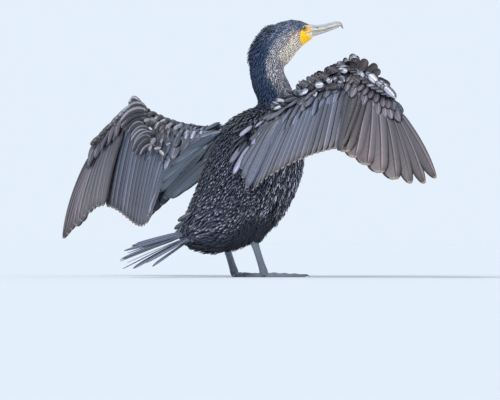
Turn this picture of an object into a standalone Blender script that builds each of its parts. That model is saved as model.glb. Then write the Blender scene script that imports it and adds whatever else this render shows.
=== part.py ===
# Great cormorant drying its wings, life size, as a still museum model.
# Metres, +Z up. The bird faces -Y and its left side is +X. It stands on the plane z = 0.

import itertools
import math

import bmesh
import bpy
import numpy as np
from mathutils import Matrix, Vector

# Driving dimensions

GAP = 0.0003              # clearance between pieces that touch
VANE_THICK = 0.0007       # a flight feather's vane
HEAD_YAW = math.radians(30)   # the head is turned to the bird's right

MERGE_DISTANCES = (0.000002, 0.0000005, 0)

# The body's outline in its own middle plane, from the tail to the top of the neck:
# distance forward, height, half width, half depth, share of the yaw
TORSO_STATIONS = [
    (-0.166, 0.085, 0.024, 0.016, 0.0),
    (-0.148, 0.088, 0.041, 0.032, 0.0),
    (-0.121, 0.095, 0.055, 0.050, 0.0),
    (-0.087, 0.112, 0.067, 0.068, 0.0),
    (-0.049, 0.140, 0.076, 0.086, 0.0),
    (-0.016, 0.174, 0.079, 0.098, 0.0),
    (0.006, 0.209, 0.080, 0.103, 0.0),
    (0.027, 0.244, 0.078, 0.101, 0.0),
    (0.044, 0.276, 0.070, 0.090, 0.0),
    (0.060, 0.304, 0.057, 0.067, 0.0),
    (0.069, 0.328, 0.047, 0.049, 0.0),
]
NECK_STATIONS = [
    (0.069, 0.328, 0.047, 0.049, 0.0),
    (0.071, 0.347, 0.037, 0.040, 0.03),
    (0.064, 0.368, 0.032, 0.037, 0.10),
    (0.051, 0.391, 0.030, 0.036, 0.22),
    (0.045, 0.414, 0.029, 0.035, 0.40),
    (0.047, 0.435, 0.030, 0.037, 0.62),
    (0.059, 0.453, 0.031, 0.040, 0.84),
]
HEAD_STATIONS = [
    (0.059, 0.453, 0.031, 0.040, 0.84),
    (0.073, 0.469, 0.031, 0.039, 0.95),
    (0.089, 0.480, 0.0300, 0.0345, 1.0),
    (0.105, 0.4870, 0.0275, 0.0298, 1.0),
    (0.118, 0.4895, 0.0225, 0.0240, 1.0),
    (0.129, 0.4905, 0.0160, 0.0180, 1.0),
    (0.136, 0.4925, 0.0125, 0.0145, 1.0),
]

# The bill in the head's own middle plane: distance from its base, culmen height,
# height of the line of the mouth, height of the lower edge, half width
BILL_STATIONS = [
    (0.000, 0.0140, -0.0012, -0.0125, 0.0115),
    (0.012, 0.0125, -0.0005, -0.0085, 0.0098),
    (0.026, 0.0145, 0.0020, -0.0045, 0.0082),
    (0.038, 0.0178, 0.0058, 0.0000, 0.0070),
    (0.050, 0.0208, 0.0098, 0.0045, 0.0060),
    (0.058, 0.0200, 0.0112, 0.0078, 0.0050),
]
HOOK_STATIONS = [
    (0.0635, 0.0150, 0.0075, 0.0035),
    (0.0660, 0.0085, 0.0040, 0.0014),
]
EYE_RADIUS = 0.0058
EYE_FORWARD = 0.1185      # along the body's unrolled outline, as the head's stations are
EYE_HEIGHT = 0.4985
EYE_SIDE = 0.0175         # from the head's middle plane
LID_RADIUS = 0.0012
MOUTH_CORNER = 0.016      # how far the line of the mouth runs back into the face
MOUTH_SLIT = 0.0008
NOSTRIL_FORWARD = 0.010
NOSTRIL_SIZE = (0.0050, 0.0020, 0.0008)

NOSTRIL_SIDE = 0.0095         # from the bill's middle plane
NOSTRIL_HEIGHT = 0.0052
LOWER_BILL_SHARE = 0.94       # the lower half's width beside the upper half's
BILL_POINTS = 6               # steps of the arch across a half of the bill
LID_POINTS = 14
LID_TUCK = 0.98               # the lids' ring beside the eye's radius
LID_PROUD = 0.0008
GAPE_SIDE = 0.0125            # the mouth's corner, from the head's middle plane
GAPE_FALL = 0.12
GAPE_TURN = 0.28
GAPE_DEPTH = 0.006

# The tail: fourteen stiff feathers in a narrow wedge
TAIL_ROOT = Vector((0.000, 0.158, 0.084))
TAIL_HEADING = Vector((0.17, 0.93, -0.33)).normalized()
TAIL_FEATHERS = 14
TAIL_LENGTH = 0.165
TAIL_SPREAD = math.radians(26)
TAIL_WIDTH = 0.014
TAIL_ROOT_SPREAD = 0.016      # how far from the middle the outermost feather is rooted
TAIL_TAPER = 0.30             # how much shorter the outermost feather is
# The flesh at the tail's root: distances along it, half widths and half thicknesses
TAIL_CORE = ((-0.012, 0.020, 0.010), (0.012, 0.022, 0.010), (0.035, 0.020, 0.006),
             (0.050, 0.016, 0.003))

# Legs and webbed feet, for the left side; the right side mirrors them
HEEL = Vector((0.046, 0.028, 0.072))
TOE_BASE = Vector((0.046, 0.001, 0.0))
THIGH_TOP = Vector((0.050, -0.004, 0.165))
# Shares of the way from the top to the heel, half widths and half depths
THIGH_SECTIONS = ((0.0, 0.014, 0.026), (0.16, 0.026, 0.041), (0.38, 0.032, 0.046),
                  (0.62, 0.026, 0.035), (0.84, 0.016, 0.020), (1.0, 0.0085, 0.0105))
# The same of the shank, from the heel to the ankle
SHANK_SECTIONS = ((0.0, 0.0058, 0.0085), (0.16, 0.0052, 0.0072), (0.5, 0.0046, 0.0066),
                  (0.84, 0.0052, 0.0072), (1.0, 0.0062, 0.0085))
ANKLE_RISE = Vector((0, 0.002, 0.011))
# Heights, half widths and half depths of the foot's pad
PAD_SECTIONS = ((0.0, 0.0075, 0.0105), (0.005, 0.0085, 0.0115), (0.0098, 0.0064, 0.0086))
TOE_NAMES = ("outer", "middle", "inner", "hind")
TOE_LENGTHS = (0.098, 0.088, 0.064, 0.044)
TOE_HEADINGS = (20, -4, -34, -125)      # degrees outward of straight ahead
TOE_RADIUS = 0.0048
TOE_SECTIONS = ((0.0, 1.15), (0.32, 0.95), (0.62, 0.82), (0.87, 0.60), (0.94, 0.50), (1.0, 0.14))
WEB_BOTTOM = 0.0006
WEB_TOP = 0.0022
WEB_SAG = 0.80            # how far a web reaches at its middle, beside its ends
WEB_REACH = 0.86          # how far its ends reach along the toes
WEB_STEPS = 6

# The wings. Each has its own pose. Points and directions are (x, y, z).
# A fan lists its feathers from the body outwards: which feather, its direction, its length
RIGHT_WING = {
    "side": -1,
    "shoulder": (-0.060, -0.008, 0.292),
    "elbow": (-0.169, 0.062, 0.312),
    "wrist": (-0.295, -0.014, 0.406),
    "finger": (-0.380, -0.046, 0.344),
    "edge": ((-0.054, -0.034, 0.332), (-0.180, -0.026, 0.384), (-0.300, -0.024, 0.414)),
    "tertials": [
        (0, (0.066, 0.070, -0.088), 0.130),
        (2, (0.056, 0.068, -0.116), 0.148),
        (4, (0.034, 0.064, -0.140), 0.160),
    ],
    "secondaries": [
        (0, (0.012, 0.078, -0.136), 0.162),
        (3, (-0.018, 0.096, -0.128), 0.165),
        (8, (-0.040, 0.098, -0.124), 0.168),
        (12, (-0.050, 0.094, -0.130), 0.171),
        (15, (-0.054, 0.088, -0.142), 0.175),
    ],
    "primaries": [
        (0, (-0.063, 0.094, -0.143), 0.182),
        (3, (-0.075, 0.104, -0.143), 0.192),
        (5, (-0.112, 0.094, -0.142), 0.205),
        (7, (-0.143, 0.059, -0.168), 0.229),
        (9, (-0.180, 0.049, -0.136), 0.231),
    ],
    "bow": (-0.030, -0.010, 0.020),
    "ruffle": 62,
}
LEFT_WING = {
    "side": 1,
    "shoulder": (0.062, -0.006, 0.272),
    "elbow": (0.176, 0.040, 0.250),
    "wrist": (0.325, 0.052, 0.332),
    "finger": (0.412, 0.056, 0.268),
    "edge": ((0.052, -0.040, 0.306), (0.186, 0.000, 0.280), (0.310, 0.040, 0.352)),
    "tertials": [
        (0, (-0.024, 0.072, -0.076), 0.118),
        (2, (0.004, 0.068, -0.104), 0.138),
        (4, (0.014, 0.062, -0.122), 0.156),
    ],
    "secondaries": [
        (0, (-0.037, 0.094, -0.110), 0.149),
        (4, (-0.001, 0.058, -0.168), 0.176),
        (8, (0.016, 0.041, -0.179), 0.184),
        (12, (0.028, 0.030, -0.181), 0.185),
        (15, (0.040, 0.029, -0.186), 0.189),
    ],
    "primaries": [
        (0, (0.042, 0.031, -0.179), 0.188),
        (3, (0.094, -0.001, -0.171), 0.196),
        (5, (0.125, -0.016, -0.168), 0.212),
        (7, (0.153, -0.030, -0.182), 0.240),
        (9, (0.168, -0.034, -0.186), 0.250),
    ],
    "bow": (0.040, 0.000, 0.020),
    "ruffle": 46,
}
LONG_STEPS = (0.0, 0.30, 0.66, 0.89, 1.0)
SHORT_STEPS = (0.0, 0.30, 0.78, 1.0)
SETTLED_SHARE = 0.30           # nearer its root a feather lies as it does here
COVERT_STEPS = (0.0, 0.62, 1.0)
# Rows of short feathers on the arm: how many, place from edge 0 to bone 1, length, width,
# degrees raised, share of the ruffle added, first and last place along the arm
COVERT_ROWS = [
    (14, 0.93, 0.062, 0.021, 5, 0.10, 0.22, 0.97),
    (13, 0.72, 0.040, 0.019, 9, 0.22, 0.20, 0.97),
    (11, 0.48, 0.028, 0.019, 12, 0.55, 0.22, 0.97),
    (12, 0.20, 0.023, 0.018, 14, 1.00, 0.20, 0.98),
]
# The same on the hand, placed in metres before the bone
HAND_COVERT_ROWS = [
    (8, -0.001, 0.052, 0.017, 10, 0.08),
    (7, 0.006, 0.028, 0.016, 16, 0.35),
]
PRIMARIES = 10
SECONDARIES = 16
TERTIALS = 5
LONG_DROOP = 0.05              # how far a long feather's tip bends down, as a share of its length
TERTIAL_DROOP = 0.04
COVERT_DROOP = 0.10
HAND_COVERT_DROOP = 0.06
TAIL_DROOP = 0.03
PRIMARY_WIDTH = 0.030
SECONDARY_WIDTH = 0.030
TERTIAL_WIDTH = 0.027
SHINGLE_LIFT = 0.0015          # how much a long feather rises over its outer neighbour
COVERT_LIFT = 0.0012           # the same for the short and the tail feathers
ELBOW_SHARE = 0.45             # where the elbow falls along the arm
ARM_THICK = (0.017, 0.0085)    # half thickness of the arm at the shoulder and at the wrist
ARM_SIDES = 10
ARM_PLACES = (-0.06, 0.06, 0.20, 0.34, 0.45, 0.56, 0.70, 0.84, 0.94, 1.0)
SHOULDER_INSET = 0.035
WRIST_HALF = (0.013, 0.0085)
HAND_SECTIONS = [              # share of the hand, half width, half thickness
    (0.0, 0.013, 0.0085),
    (0.35, 0.012, 0.0075),
    (0.75, 0.009, 0.0055),
    (1.06, 0.004, 0.0030),
]

# Colours: red, green, blue, roughness
COLOURS = {
    "plumage": (0.030, 0.034, 0.050, 0.55),
    "flight_feather": (0.110, 0.090, 0.085, 0.50),
    "bill_horn": (0.360, 0.330, 0.300, 0.35),
    "eye": (0.020, 0.230, 0.210, 0.08),
    "leg_skin": (0.090, 0.090, 0.095, 0.45),
}


def clear_scene():
    for item in list(bpy.data.objects):
        bpy.data.objects.remove(item)


def material(slot):
    """The slot's material, made once."""
    found = bpy.data.materials.get(slot)
    if found:
        return found
    made = bpy.data.materials.new(slot)
    made.use_nodes = True
    shader = made.node_tree.nodes["Principled BSDF"]
    red, green, blue, rough = COLOURS[slot]
    shader.inputs["Base Color"].default_value = (red, green, blue, 1)
    shader.inputs["Roughness"].default_value = rough
    return made


def add_object(name, mesh, slot):
    made = bpy.data.objects.new(name, mesh)
    bpy.context.scene.collection.objects.link(made)
    made.data.materials.append(material(slot))
    return made


def mesh_of(name, points, faces):
    mesh = bpy.data.meshes.new(name)
    mesh.from_pydata([tuple(p) for p in points], [], faces)
    mesh.validate()
    return mesh


def solid(name, points, faces, slot, smooth=False):
    """A closed solid with all its faces looking out."""
    mesh = mesh_of(name, points, faces)
    made = bmesh.new()
    made.from_mesh(mesh)
    bmesh.ops.recalc_face_normals(made, faces=made.faces)
    if made.calc_volume(signed=True) < 0:
        bmesh.ops.reverse_faces(made, faces=made.faces)
    made.to_mesh(mesh)
    made.free()
    if smooth:
        mesh.shade_smooth()
    return add_object(name, mesh, slot)


def lerp(a, b, t):
    return a + (b - a) * t


def bezier(points, t):
    """A point of the quadratic curve through three control points."""
    a, b, c = (Vector(p) for p in points)
    return a * (1 - t) ** 2 + b * (2 * t * (1 - t)) + c * t ** 2


def smooth_keys(keys, count):
    """Vectors for every feather of a row, on one smooth curve near the rows of a table."""
    places = [row[0] for row in keys]
    reach = [Vector(row[1]).normalized() * row[2] for row in keys]
    degree = min(3, len(keys) - 1)
    curves = [np.polyfit(places, [v[axis] for v in reach], degree) for axis in range(3)]
    return [Vector([float(np.polyval(curve, n)) for curve in curves]) for n in range(count)]


# Lofts

def ring(centre, side, up, half_side, half_up, count, squareness=2.0):
    """A closed ring of points, round or a little squared, in the plane of side and up."""
    points = []
    for k in range(count):
        angle = 2 * math.pi * k / count
        c, s = math.cos(angle), math.sin(angle)
        x = math.copysign(abs(c) ** (2 / squareness), c)
        y = math.copysign(abs(s) ** (2 / squareness), s)
        points.append(centre + side * (x * half_side) + up * (y * half_up))
    return points


def loft(name, rings, slot):
    """A closed solid through rings of equal count, first to last, with flat ends."""
    count = len(rings[0])
    points = [p for r in rings for p in r]
    faces = []
    for i in range(len(rings) - 1):
        for k in range(count):
            a, b = i * count + k, i * count + (k + 1) % count
            faces.append((a, b, b + count, a + count))
    faces.append(tuple(range(count))[::-1])
    faces.append(tuple(range(len(points) - count, len(points))))
    return solid(name, points, faces, slot, smooth=True)


def heading(yaw):
    """The level direction the bird's outline runs in, where it is turned by yaw."""
    return Vector((-math.sin(yaw), -math.cos(yaw), 0))


def body_path(stations):
    """Centres, left sides and yaws of the unrolled outline's stations, in world space."""
    centres = []
    forward, centre = 0.0, Vector((0, 0, 0))
    for f, z, _, _, share in stations:
        centre = centre + heading(share * HEAD_YAW) * (f - forward)
        forward = f
        centres.append(Vector((centre.x, centre.y, z)))
    return centres


def unroll(stations):
    """The same centres, with those below the neck kept in the middle plane."""
    whole = TORSO_STATIONS[:-1] + NECK_STATIONS[:-1] + HEAD_STATIONS
    path = body_path(whole)
    lookup = {(f, z): p for (f, z, _, _, _), p in zip(whole, path)}
    return [lookup[(f, z)] for f, z, _, _, _ in stations]


def station_frame(f, z, share):
    """World position for a forward distance and height on the head, which has full yaw."""
    last = HEAD_STATIONS[-1]
    base = unroll([last])[0]
    return base + heading(share * HEAD_YAW) * (f - last[0]) + Vector((0, 0, z - last[1]))


def body_rings(stations, count, trim_start=0.0, trim_end=0.0, squareness=2.0):
    """Rings of the body's skin, each square to the path."""
    whole = TORSO_STATIONS[:-1] + NECK_STATIONS[:-1] + HEAD_STATIONS
    path = body_path(whole)
    rings = []
    for n, (f, z, half_width, half_depth, share) in enumerate(stations):
        at = next(i for i, s in enumerate(whole) if (s[0], s[1]) == (f, z))
        before, after = path[max(at - 1, 0)], path[min(at + 1, len(path) - 1)]
        along = (after - before).normalized()
        yaw = share * HEAD_YAW
        left = Vector((math.cos(yaw), -math.sin(yaw), 0))
        up = left.cross(along).normalized() * -1
        left = along.cross(up).normalized()
        centre = path[at]
        if n == 0:
            centre = centre + along * trim_start
        if n == len(stations) - 1:
            centre = centre - along * trim_end
        rings.append(ring(centre, left, up, half_width, half_depth, count, squareness))
    return rings


# Cutting and joining

def boolean(target, operation, solver="EXACT", cutter=None, collection=None):
    change = target.modifiers.new("join", "BOOLEAN")
    change.operation = operation
    change.solver = solver
    if collection:
        change.operand_type = "COLLECTION"
        change.collection = collection
    else:
        change.object = cutter
    apply_modifiers(target)


def apply_modifiers(target):
    graph = bpy.context.evaluated_depsgraph_get()
    mesh = bpy.data.meshes.new_from_object(target.evaluated_get(graph))
    target.modifiers.clear()
    target.data = mesh


def keep_largest(target):
    """Keeps the largest closed surface of the object's mesh."""
    made = bmesh.new()
    made.from_mesh(target.data)
    left = set(made.verts)
    islands = []
    while left:
        seed = left.pop()
        island, front = {seed}, [seed]
        while front:
            vertex = front.pop()
            for edge in vertex.link_edges:
                other = edge.other_vert(vertex)
                if other in left:
                    left.discard(other)
                    island.add(other)
                    front.append(other)
        islands.append(island)
    if len(islands) > 1:
        largest = max(islands, key=island_volume)
        bmesh.ops.delete(made, geom=[v for v in made.verts if v not in largest], context="VERTS")
    made.to_mesh(target.data)
    made.free()


def island_volume(island):
    """Six times the volume that a closed island of vertices holds."""
    faces = {f for v in island for f in v.link_faces}
    total = 0.0
    for face in faces:
        corners = [v.co for v in face.verts]
        for b, c in zip(corners[1:], corners[2:]):
            total += corners[0].dot(b.cross(c))
    return total


def join_pieces(core, pieces):
    """Unites the pieces with their core into one closed solid."""
    group = bpy.data.collections.new(core.name + "_pieces")
    bpy.context.scene.collection.children.link(group)
    for piece in pieces:
        bpy.context.scene.collection.objects.unlink(piece)
        group.objects.link(piece)
    boolean(core, "UNION", "MANIFOLD", collection=group)
    for piece in pieces:
        bpy.data.objects.remove(piece)
    bpy.data.collections.remove(group)
    keep_largest(core)
    tidy_mesh(core)


def tidy_mesh(target):
    """Merges points that nearly meet, by the largest distance that leaves the solid closed."""
    for distance in MERGE_DISTANCES:
        made = bmesh.new()
        made.from_mesh(target.data)
        if distance:
            bmesh.ops.remove_doubles(made, verts=made.verts, dist=distance)
            bmesh.ops.dissolve_degenerate(made, edges=made.edges, dist=distance)
        bmesh.ops.triangulate(made, faces=made.faces)
        closed = all(len(edge.link_faces) == 2 for edge in made.edges)
        if closed or not distance:
            made.to_mesh(target.data)
            made.free()
            return
        made.free()


def cut_clear(target, neighbour, gap=GAP):
    """Cuts the target back from its neighbour, which is first grown by the gap."""
    cutter = neighbour.copy()
    cutter.data = neighbour.data.copy()
    bpy.context.scene.collection.objects.link(cutter)
    grown = bmesh.new()
    grown.from_mesh(cutter.data)
    grown.normal_update()
    for vertex in grown.verts:
        vertex.co += vertex.normal * gap * 1.3
    grown.to_mesh(cutter.data)
    grown.free()
    boolean(target, "DIFFERENCE", "MANIFOLD", cutter=cutter)
    bpy.data.objects.remove(cutter)
    keep_largest(target)
    tidy_mesh(target)


# Feathers

def strip(name, sections, slot):
    """A thin closed strip. A section is four corners: upper left, upper right and below them."""
    points = [p for section in sections for p in section]
    faces = []
    for i in range(len(sections) - 1):
        a, b = i * 4, i * 4 + 4
        faces += [(a, a + 1, b + 1), (a, b + 1, b)]
        faces += [(a + 3, b + 2, a + 2), (a + 3, b + 3, b + 2)]
        faces += [(a + 1, a + 2, b + 2), (a + 1, b + 2, b + 1)]
        faces += [(a, b + 3, a + 3), (a, b, b + 3)]
    last = len(points) - 4
    faces += [(0, 3, 2), (0, 2, 1), (last, last + 1, last + 2), (last, last + 2, last + 3)]
    return solid(name, points, faces, slot)


def vane_share(s):
    """How wide a feather is at a share of its length, as a share of its full width."""
    if s < 0.30:
        return lerp(0.22, 1.0, s / 0.30)
    if s < 0.72:
        return 1.0
    return math.sqrt(max(0.07, 1 - ((s - 0.72) / 0.285) ** 2))


class Fan:
    """A row of feathers that overlap like shingles on one smooth surface."""

    def __init__(self, roots, directions, lengths, droop, dorsal, bow=None):
        self.roots, self.directions, self.lengths = roots, directions, lengths
        self.droop, self.dorsal = droop, dorsal
        self.bow = bow or Vector((0, 0, 0))

    def shaft(self, n, s):
        """A point of a feather's shaft, which bends down and in towards its tip."""
        length = self.lengths[n]
        along = self.directions[n] * (length * s)
        sideways = self.bow * (length * 4 * s * (1 - s))
        return self.roots[n] + along + sideways - self.dorsal * (self.droop * length * s * s)

    def frame(self, n, s):
        """Shaft point, the way to the next feather out, the upper face and the spacing."""
        a, b = max(n - 2, 0), min(n + 2, len(self.roots) - 1)
        here = self.shaft(n, s)
        ahead, behind = self.shaft(n, s + 0.02), self.shaft(n, s - 0.02)
        along = (ahead - behind).normalized()
        far = max(s, SETTLED_SHARE)
        step = (self.shaft(b, far) - self.shaft(a, far)) / (b - a)
        step = step - along * step.dot(along)
        outward = step.normalized()
        face = along.cross(outward).normalized()
        if face.dot(self.dorsal) < 0:
            face = -face
        return here, outward, face, step.length

    def vanes(self, width, steps, slot, lift=SHINGLE_LIFT, outer=(0.42, 0.42)):
        """Each feather as its own strip, its outer edge raised over its outer neighbour.

        outer is the share of the width outside the shaft, for the first and the last one."""
        made = []
        last = len(self.roots) - 1
        for n in range(last + 1):
            outside = lerp(outer[0], outer[1], (n / last) ** 2)
            sections = []
            for s in steps:
                here, outward, face, spacing = self.frame(n, s)
                wide = width * vane_share(s)
                slope = min(0.35, lift / max(spacing, 0.002))
                lean = (outward + face * slope).normalized()
                rise = face * (VANE_THICK / 2)
                inner_edge = here - lean * (wide * (1 - outside))
                outer_edge = here + lean * (wide * outside)
                sections.append([inner_edge + rise, outer_edge + rise,
                                 outer_edge - rise, inner_edge - rise])
            made.append(strip("vane", sections, slot))
        return made


def keyed_fan(roots, keys, droop, dorsal, bow=None):
    """A fan whose directions and lengths are read from a few key feathers."""
    reach = smooth_keys(keys, len(roots))
    return Fan(roots, [v.normalized() for v in reach], [v.length for v in reach],
               droop, dorsal, bow)


class Wing:
    """Where the bones, edges and surface of one wing are."""

    def __init__(self, pose):
        self.pose = pose
        self.side = pose["side"]
        for point in ("shoulder", "elbow", "wrist", "finger"):
            setattr(self, point, Vector(pose[point]))

    def bone(self, u):
        """The bone line from shoulder to wrist, with a rounded elbow."""
        e = ELBOW_SHARE
        if u < e:
            straight = lerp(self.shoulder, self.elbow, u / e)
        else:
            straight = lerp(self.elbow, self.wrist, (u - e) / (1 - e))
        rounding = max(0.0, 1 - abs(u - e) / 0.18) ** 2 * 0.14
        return lerp(straight, (self.shoulder + self.wrist) / 2, rounding)

    def edge(self, u):
        return bezier(self.pose["edge"], u)

    def face(self, u):
        """The way the arm's upper surface looks at u."""
        span = (self.wrist - self.shoulder).normalized()
        middle = self.bone(ELBOW_SHARE) - self.edge(ELBOW_SHARE)
        return (middle.cross(span) * -self.side).normalized()

    def surface(self, u, v, lift=0.0):
        """A point of the arm's upper surface: v is 0 at the leading edge, 1 at the bones."""
        chord = lerp(self.edge(u), self.bone(u), v)
        height = self.half_thick(u) * math.sqrt(max(0.0, 1 - (2 * v - 1.1) ** 2))
        return chord + self.face(u) * (height + lift)

    def half_thick(self, u):
        return lerp(ARM_THICK[0], ARM_THICK[1], min(1.0, u * 1.4))

    def arm_core(self):
        """Rings of the arm with its skin fold, from inside the shoulder to the wrist."""
        rings = []
        for u in ARM_PLACES:
            inside = max(u, 0.0)
            front, back, face = self.edge(inside), self.bone(inside), self.face(inside)
            side_way = (back - front).normalized()
            thick = self.half_thick(inside)
            half = (back - front).length / 2 + thick * 0.8
            centre = (front + back) / 2
            if u < 0:
                centre = centre + (self.shoulder - self.wrist).normalized() * SHOULDER_INSET
            if u == 1.0:
                end = (self.wrist - self.elbow).normalized()
                centre = self.wrist - end * GAP
                side_way, face = self.wrist_axes(end, side_way, face)
                half, thick = WRIST_HALF
            rings.append(ring(centre, side_way, face, half, thick, ARM_SIDES))
        return rings

    @staticmethod
    def wrist_axes(end, side_way, face):
        """The two ring axes at the wrist, square to the arm's end and to each other."""
        side_way = (side_way - end * side_way.dot(end)).normalized()
        square = end.cross(side_way).normalized()
        return side_way, square if square.dot(face) > 0 else -square

    def hand_core(self):
        """Rings of the hand. Its first one faces the arm's last, the gap away."""
        end = (self.wrist - self.elbow).normalized()
        along = (self.finger - self.wrist).normalized()
        back = (self.bone(1.0) - self.edge(1.0)).normalized()
        rings = []
        for t, half, thick in HAND_SECTIONS:
            turn = min(1.0, t / 0.3)
            axis = lerp(end, along, turn).normalized()
            side_way, face = self.wrist_axes(axis, back, self.face(1.0))
            rings.append(ring(lerp(self.wrist, self.finger, t), side_way, face, half, thick,
                              ARM_SIDES))
        return rings

    def flight_fans(self):
        """The long feathers: those of the upper arm, the forearm and the hand."""
        face = self.face(0.7)
        e = ELBOW_SHARE
        bow = Vector(self.pose["bow"])
        primaries = keyed_fan([lerp(self.wrist, self.finger, 0.05 + 0.93 * (n / 9) ** 0.9)
                               - face * 0.001 for n in range(PRIMARIES)],
                              self.pose["primaries"], LONG_DROOP, face, bow)
        secondaries = keyed_fan([self.bone(e + (1 - e) * (0.02 + 0.93 * n / 15)) + face * 0.001
                                 for n in range(SECONDARIES)],
                                self.pose["secondaries"], LONG_DROOP, face, bow * 0.4)
        tertials = keyed_fan([self.bone(e * (0.55 + 0.40 * n / 4)) + face * 0.004
                              for n in range(TERTIALS)],
                             self.pose["tertials"], TERTIAL_DROOP, face)
        return tertials, secondaries, primaries

    def covert_row(self, row, tertials, secondaries):
        """A row of short feathers across the arm, over the roots of the longer ones."""
        count, place, length, _, low, high, start, stop = row
        lift = self.pose["ruffle"] * high + low
        face = self.face(0.7)
        roots, directions, lengths = [], [], []
        for n in range(count):
            u = lerp(start, stop, n / (count - 1))
            if u < ELBOW_SHARE:
                way = tertials.directions[min(TERTIALS - 1, int(u / ELBOW_SHARE * TERTIALS))]
            else:
                at = (u - ELBOW_SHARE) / (1 - ELBOW_SHARE) * (SECONDARIES - 1)
                way = secondaries.directions[int(at)]
            directions.append(tilted(way, face, lift + 4 * math.sin(5.1 * n)))
            roots.append(self.surface(u, place) - face * 0.002 - directions[-1] * 0.004)
            lengths.append(length * (1 + 0.08 * math.sin(3.7 * n)))
        return Fan(roots, directions, lengths, COVERT_DROOP, face)

    def hand_coverts(self, row, primaries):
        """A row of short feathers over the roots of the hand's long ones."""
        count, place, length, _, low, high = row
        lift = self.pose["ruffle"] * high + low
        face = self.face(0.7)
        front = (self.edge(1.0) - self.bone(1.0)).normalized()
        roots, directions, lengths = [], [], []
        for n in range(count):
            at = n / (count - 1)
            way = primaries.directions[round(at * (PRIMARIES - 1))]
            directions.append(tilted(way, face, lift + 3 * math.sin(4.3 * n)))
            roots.append(lerp(self.wrist, self.finger, lerp(0.10, 0.92, at)) + front * place
                         + face * lerp(0.0060, 0.0035, at) - directions[-1] * 0.004)
            lengths.append(length * (1 + 0.3 * at))
        return Fan(roots, directions, lengths, HAND_COVERT_DROOP, face, Vector(self.pose["bow"]))


def tilted(way, face, degrees):
    """A direction raised from the wing's surface by an angle."""
    flat = (way - face * way.dot(face)).normalized()
    turn = math.radians(degrees) + math.asin(max(-1.0, min(1.0, way.dot(face))))
    return (flat * math.cos(turn) + face * math.sin(turn)).normalized()


def wing_nodes(name, pose):
    wing = Wing(pose)
    tertials, secondaries, primaries = wing.flight_fans()
    arm = loft("wing_" + name + "_arm", wing.arm_core(), "plumage")
    hand = loft("wing_" + name + "_hand", wing.hand_core(), "plumage")
    arm_vanes = tertials.vanes(TERTIAL_WIDTH, SHORT_STEPS, "flight_feather")
    arm_vanes += secondaries.vanes(SECONDARY_WIDTH, LONG_STEPS, "flight_feather")
    for row in COVERT_ROWS:
        fan = wing.covert_row(row, tertials, secondaries)
        arm_vanes += fan.vanes(row[3], COVERT_STEPS, "plumage", COVERT_LIFT, (0.5, 0.5))
    join_pieces(arm, arm_vanes)
    hand_vanes = primaries.vanes(PRIMARY_WIDTH, LONG_STEPS, "flight_feather",
                                 outer=(0.42, 0.18))
    for row in HAND_COVERT_ROWS:
        fan = wing.hand_coverts(row, primaries)
        hand_vanes += fan.vanes(row[3], COVERT_STEPS, "plumage", COVERT_LIFT, (0.5, 0.3))
    join_pieces(hand, hand_vanes)
    return arm, hand


# The body

def torso_node():
    return loft("torso", body_rings(TORSO_STATIONS, 28, trim_end=GAP / 2), "plumage")


def neck_node():
    return loft("neck", body_rings(NECK_STATIONS, 20, GAP / 2, GAP / 2), "plumage")


def head_node():
    return loft("head", body_rings(HEAD_STATIONS, 20, GAP / 2, GAP / 2), "plumage")


def bill_frame():
    """The bill's base point, the way it points, its left side and its up."""
    last, before = unroll(HEAD_STATIONS)[-1], unroll(HEAD_STATIONS)[-2]
    forward = heading(HEAD_YAW)
    left = Vector((math.cos(HEAD_YAW), -math.sin(HEAD_YAW), 0))
    return last, forward, left, Vector((0, 0, 1))


def half_ring(centre, left, up, half_width, top, bottom, arched_top):
    """A D-shaped ring: arched on one side and flat on the other."""
    points = []
    for k in range(BILL_POINTS + 1):
        angle = math.pi * k / BILL_POINTS
        x = math.cos(angle) * half_width
        rise = math.sin(angle) ** 0.8
        if arched_top:
            points.append(centre + left * x + up * (bottom + (top - bottom) * rise))
        else:
            points.append(centre + left * x + up * (top - (top - bottom) * rise))
    return points


def bill_nodes(head):
    base, forward, left, up = bill_frame()
    upper, lower = [], []
    for n, (f, culmen, mouth, under, half_width) in enumerate(BILL_STATIONS):
        centre = base + forward * (f + (GAP if n == 0 else 0))
        upper.append(half_ring(centre, left, up, half_width, culmen, mouth + GAP / 2, True))
        lower.append(half_ring(centre, left, up, half_width * LOWER_BILL_SHARE, mouth - GAP / 2,
                               under, False))
    for f, culmen, tip, half_width in HOOK_STATIONS:
        upper.append(half_ring(base + forward * f, left, up, half_width, culmen, tip, True))
    upper_bill = loft("bill_upper", upper, "bill_horn")
    lower_bill = loft("bill_lower", lower, "bill_horn")
    for side in (1, -1):
        centre = base + forward * NOSTRIL_FORWARD + left * (side * NOSTRIL_SIDE) + up * NOSTRIL_HEIGHT
        slit = box_piece(centre, (forward, left, up), NOSTRIL_SIZE)
        boolean(upper_bill, "DIFFERENCE", "MANIFOLD", cutter=slit)
        bpy.data.objects.remove(slit)
    for bill in (upper_bill, lower_bill):
        cut_clear(bill, head)


def box_piece(centre, axes, size):
    """A plain block along three axes."""
    corners = []
    for x, y, z in itertools.product((-0.5, 0.5), repeat=3):
        corners.append(centre + axes[0] * (x * size[0]) + axes[1] * (y * size[1])
                       + axes[2] * (z * size[2]))
    faces = [(0, 1, 3, 2), (4, 6, 7, 5), (0, 4, 5, 1), (2, 3, 7, 6), (0, 2, 6, 4), (1, 5, 7, 3)]
    return solid("block", corners, faces, "plumage")


def eye_centre(side):
    left = Vector((math.cos(HEAD_YAW), -math.sin(HEAD_YAW), 0))
    return station_frame(EYE_FORWARD, EYE_HEIGHT, 1.0) + left * (side * EYE_SIDE)


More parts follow.
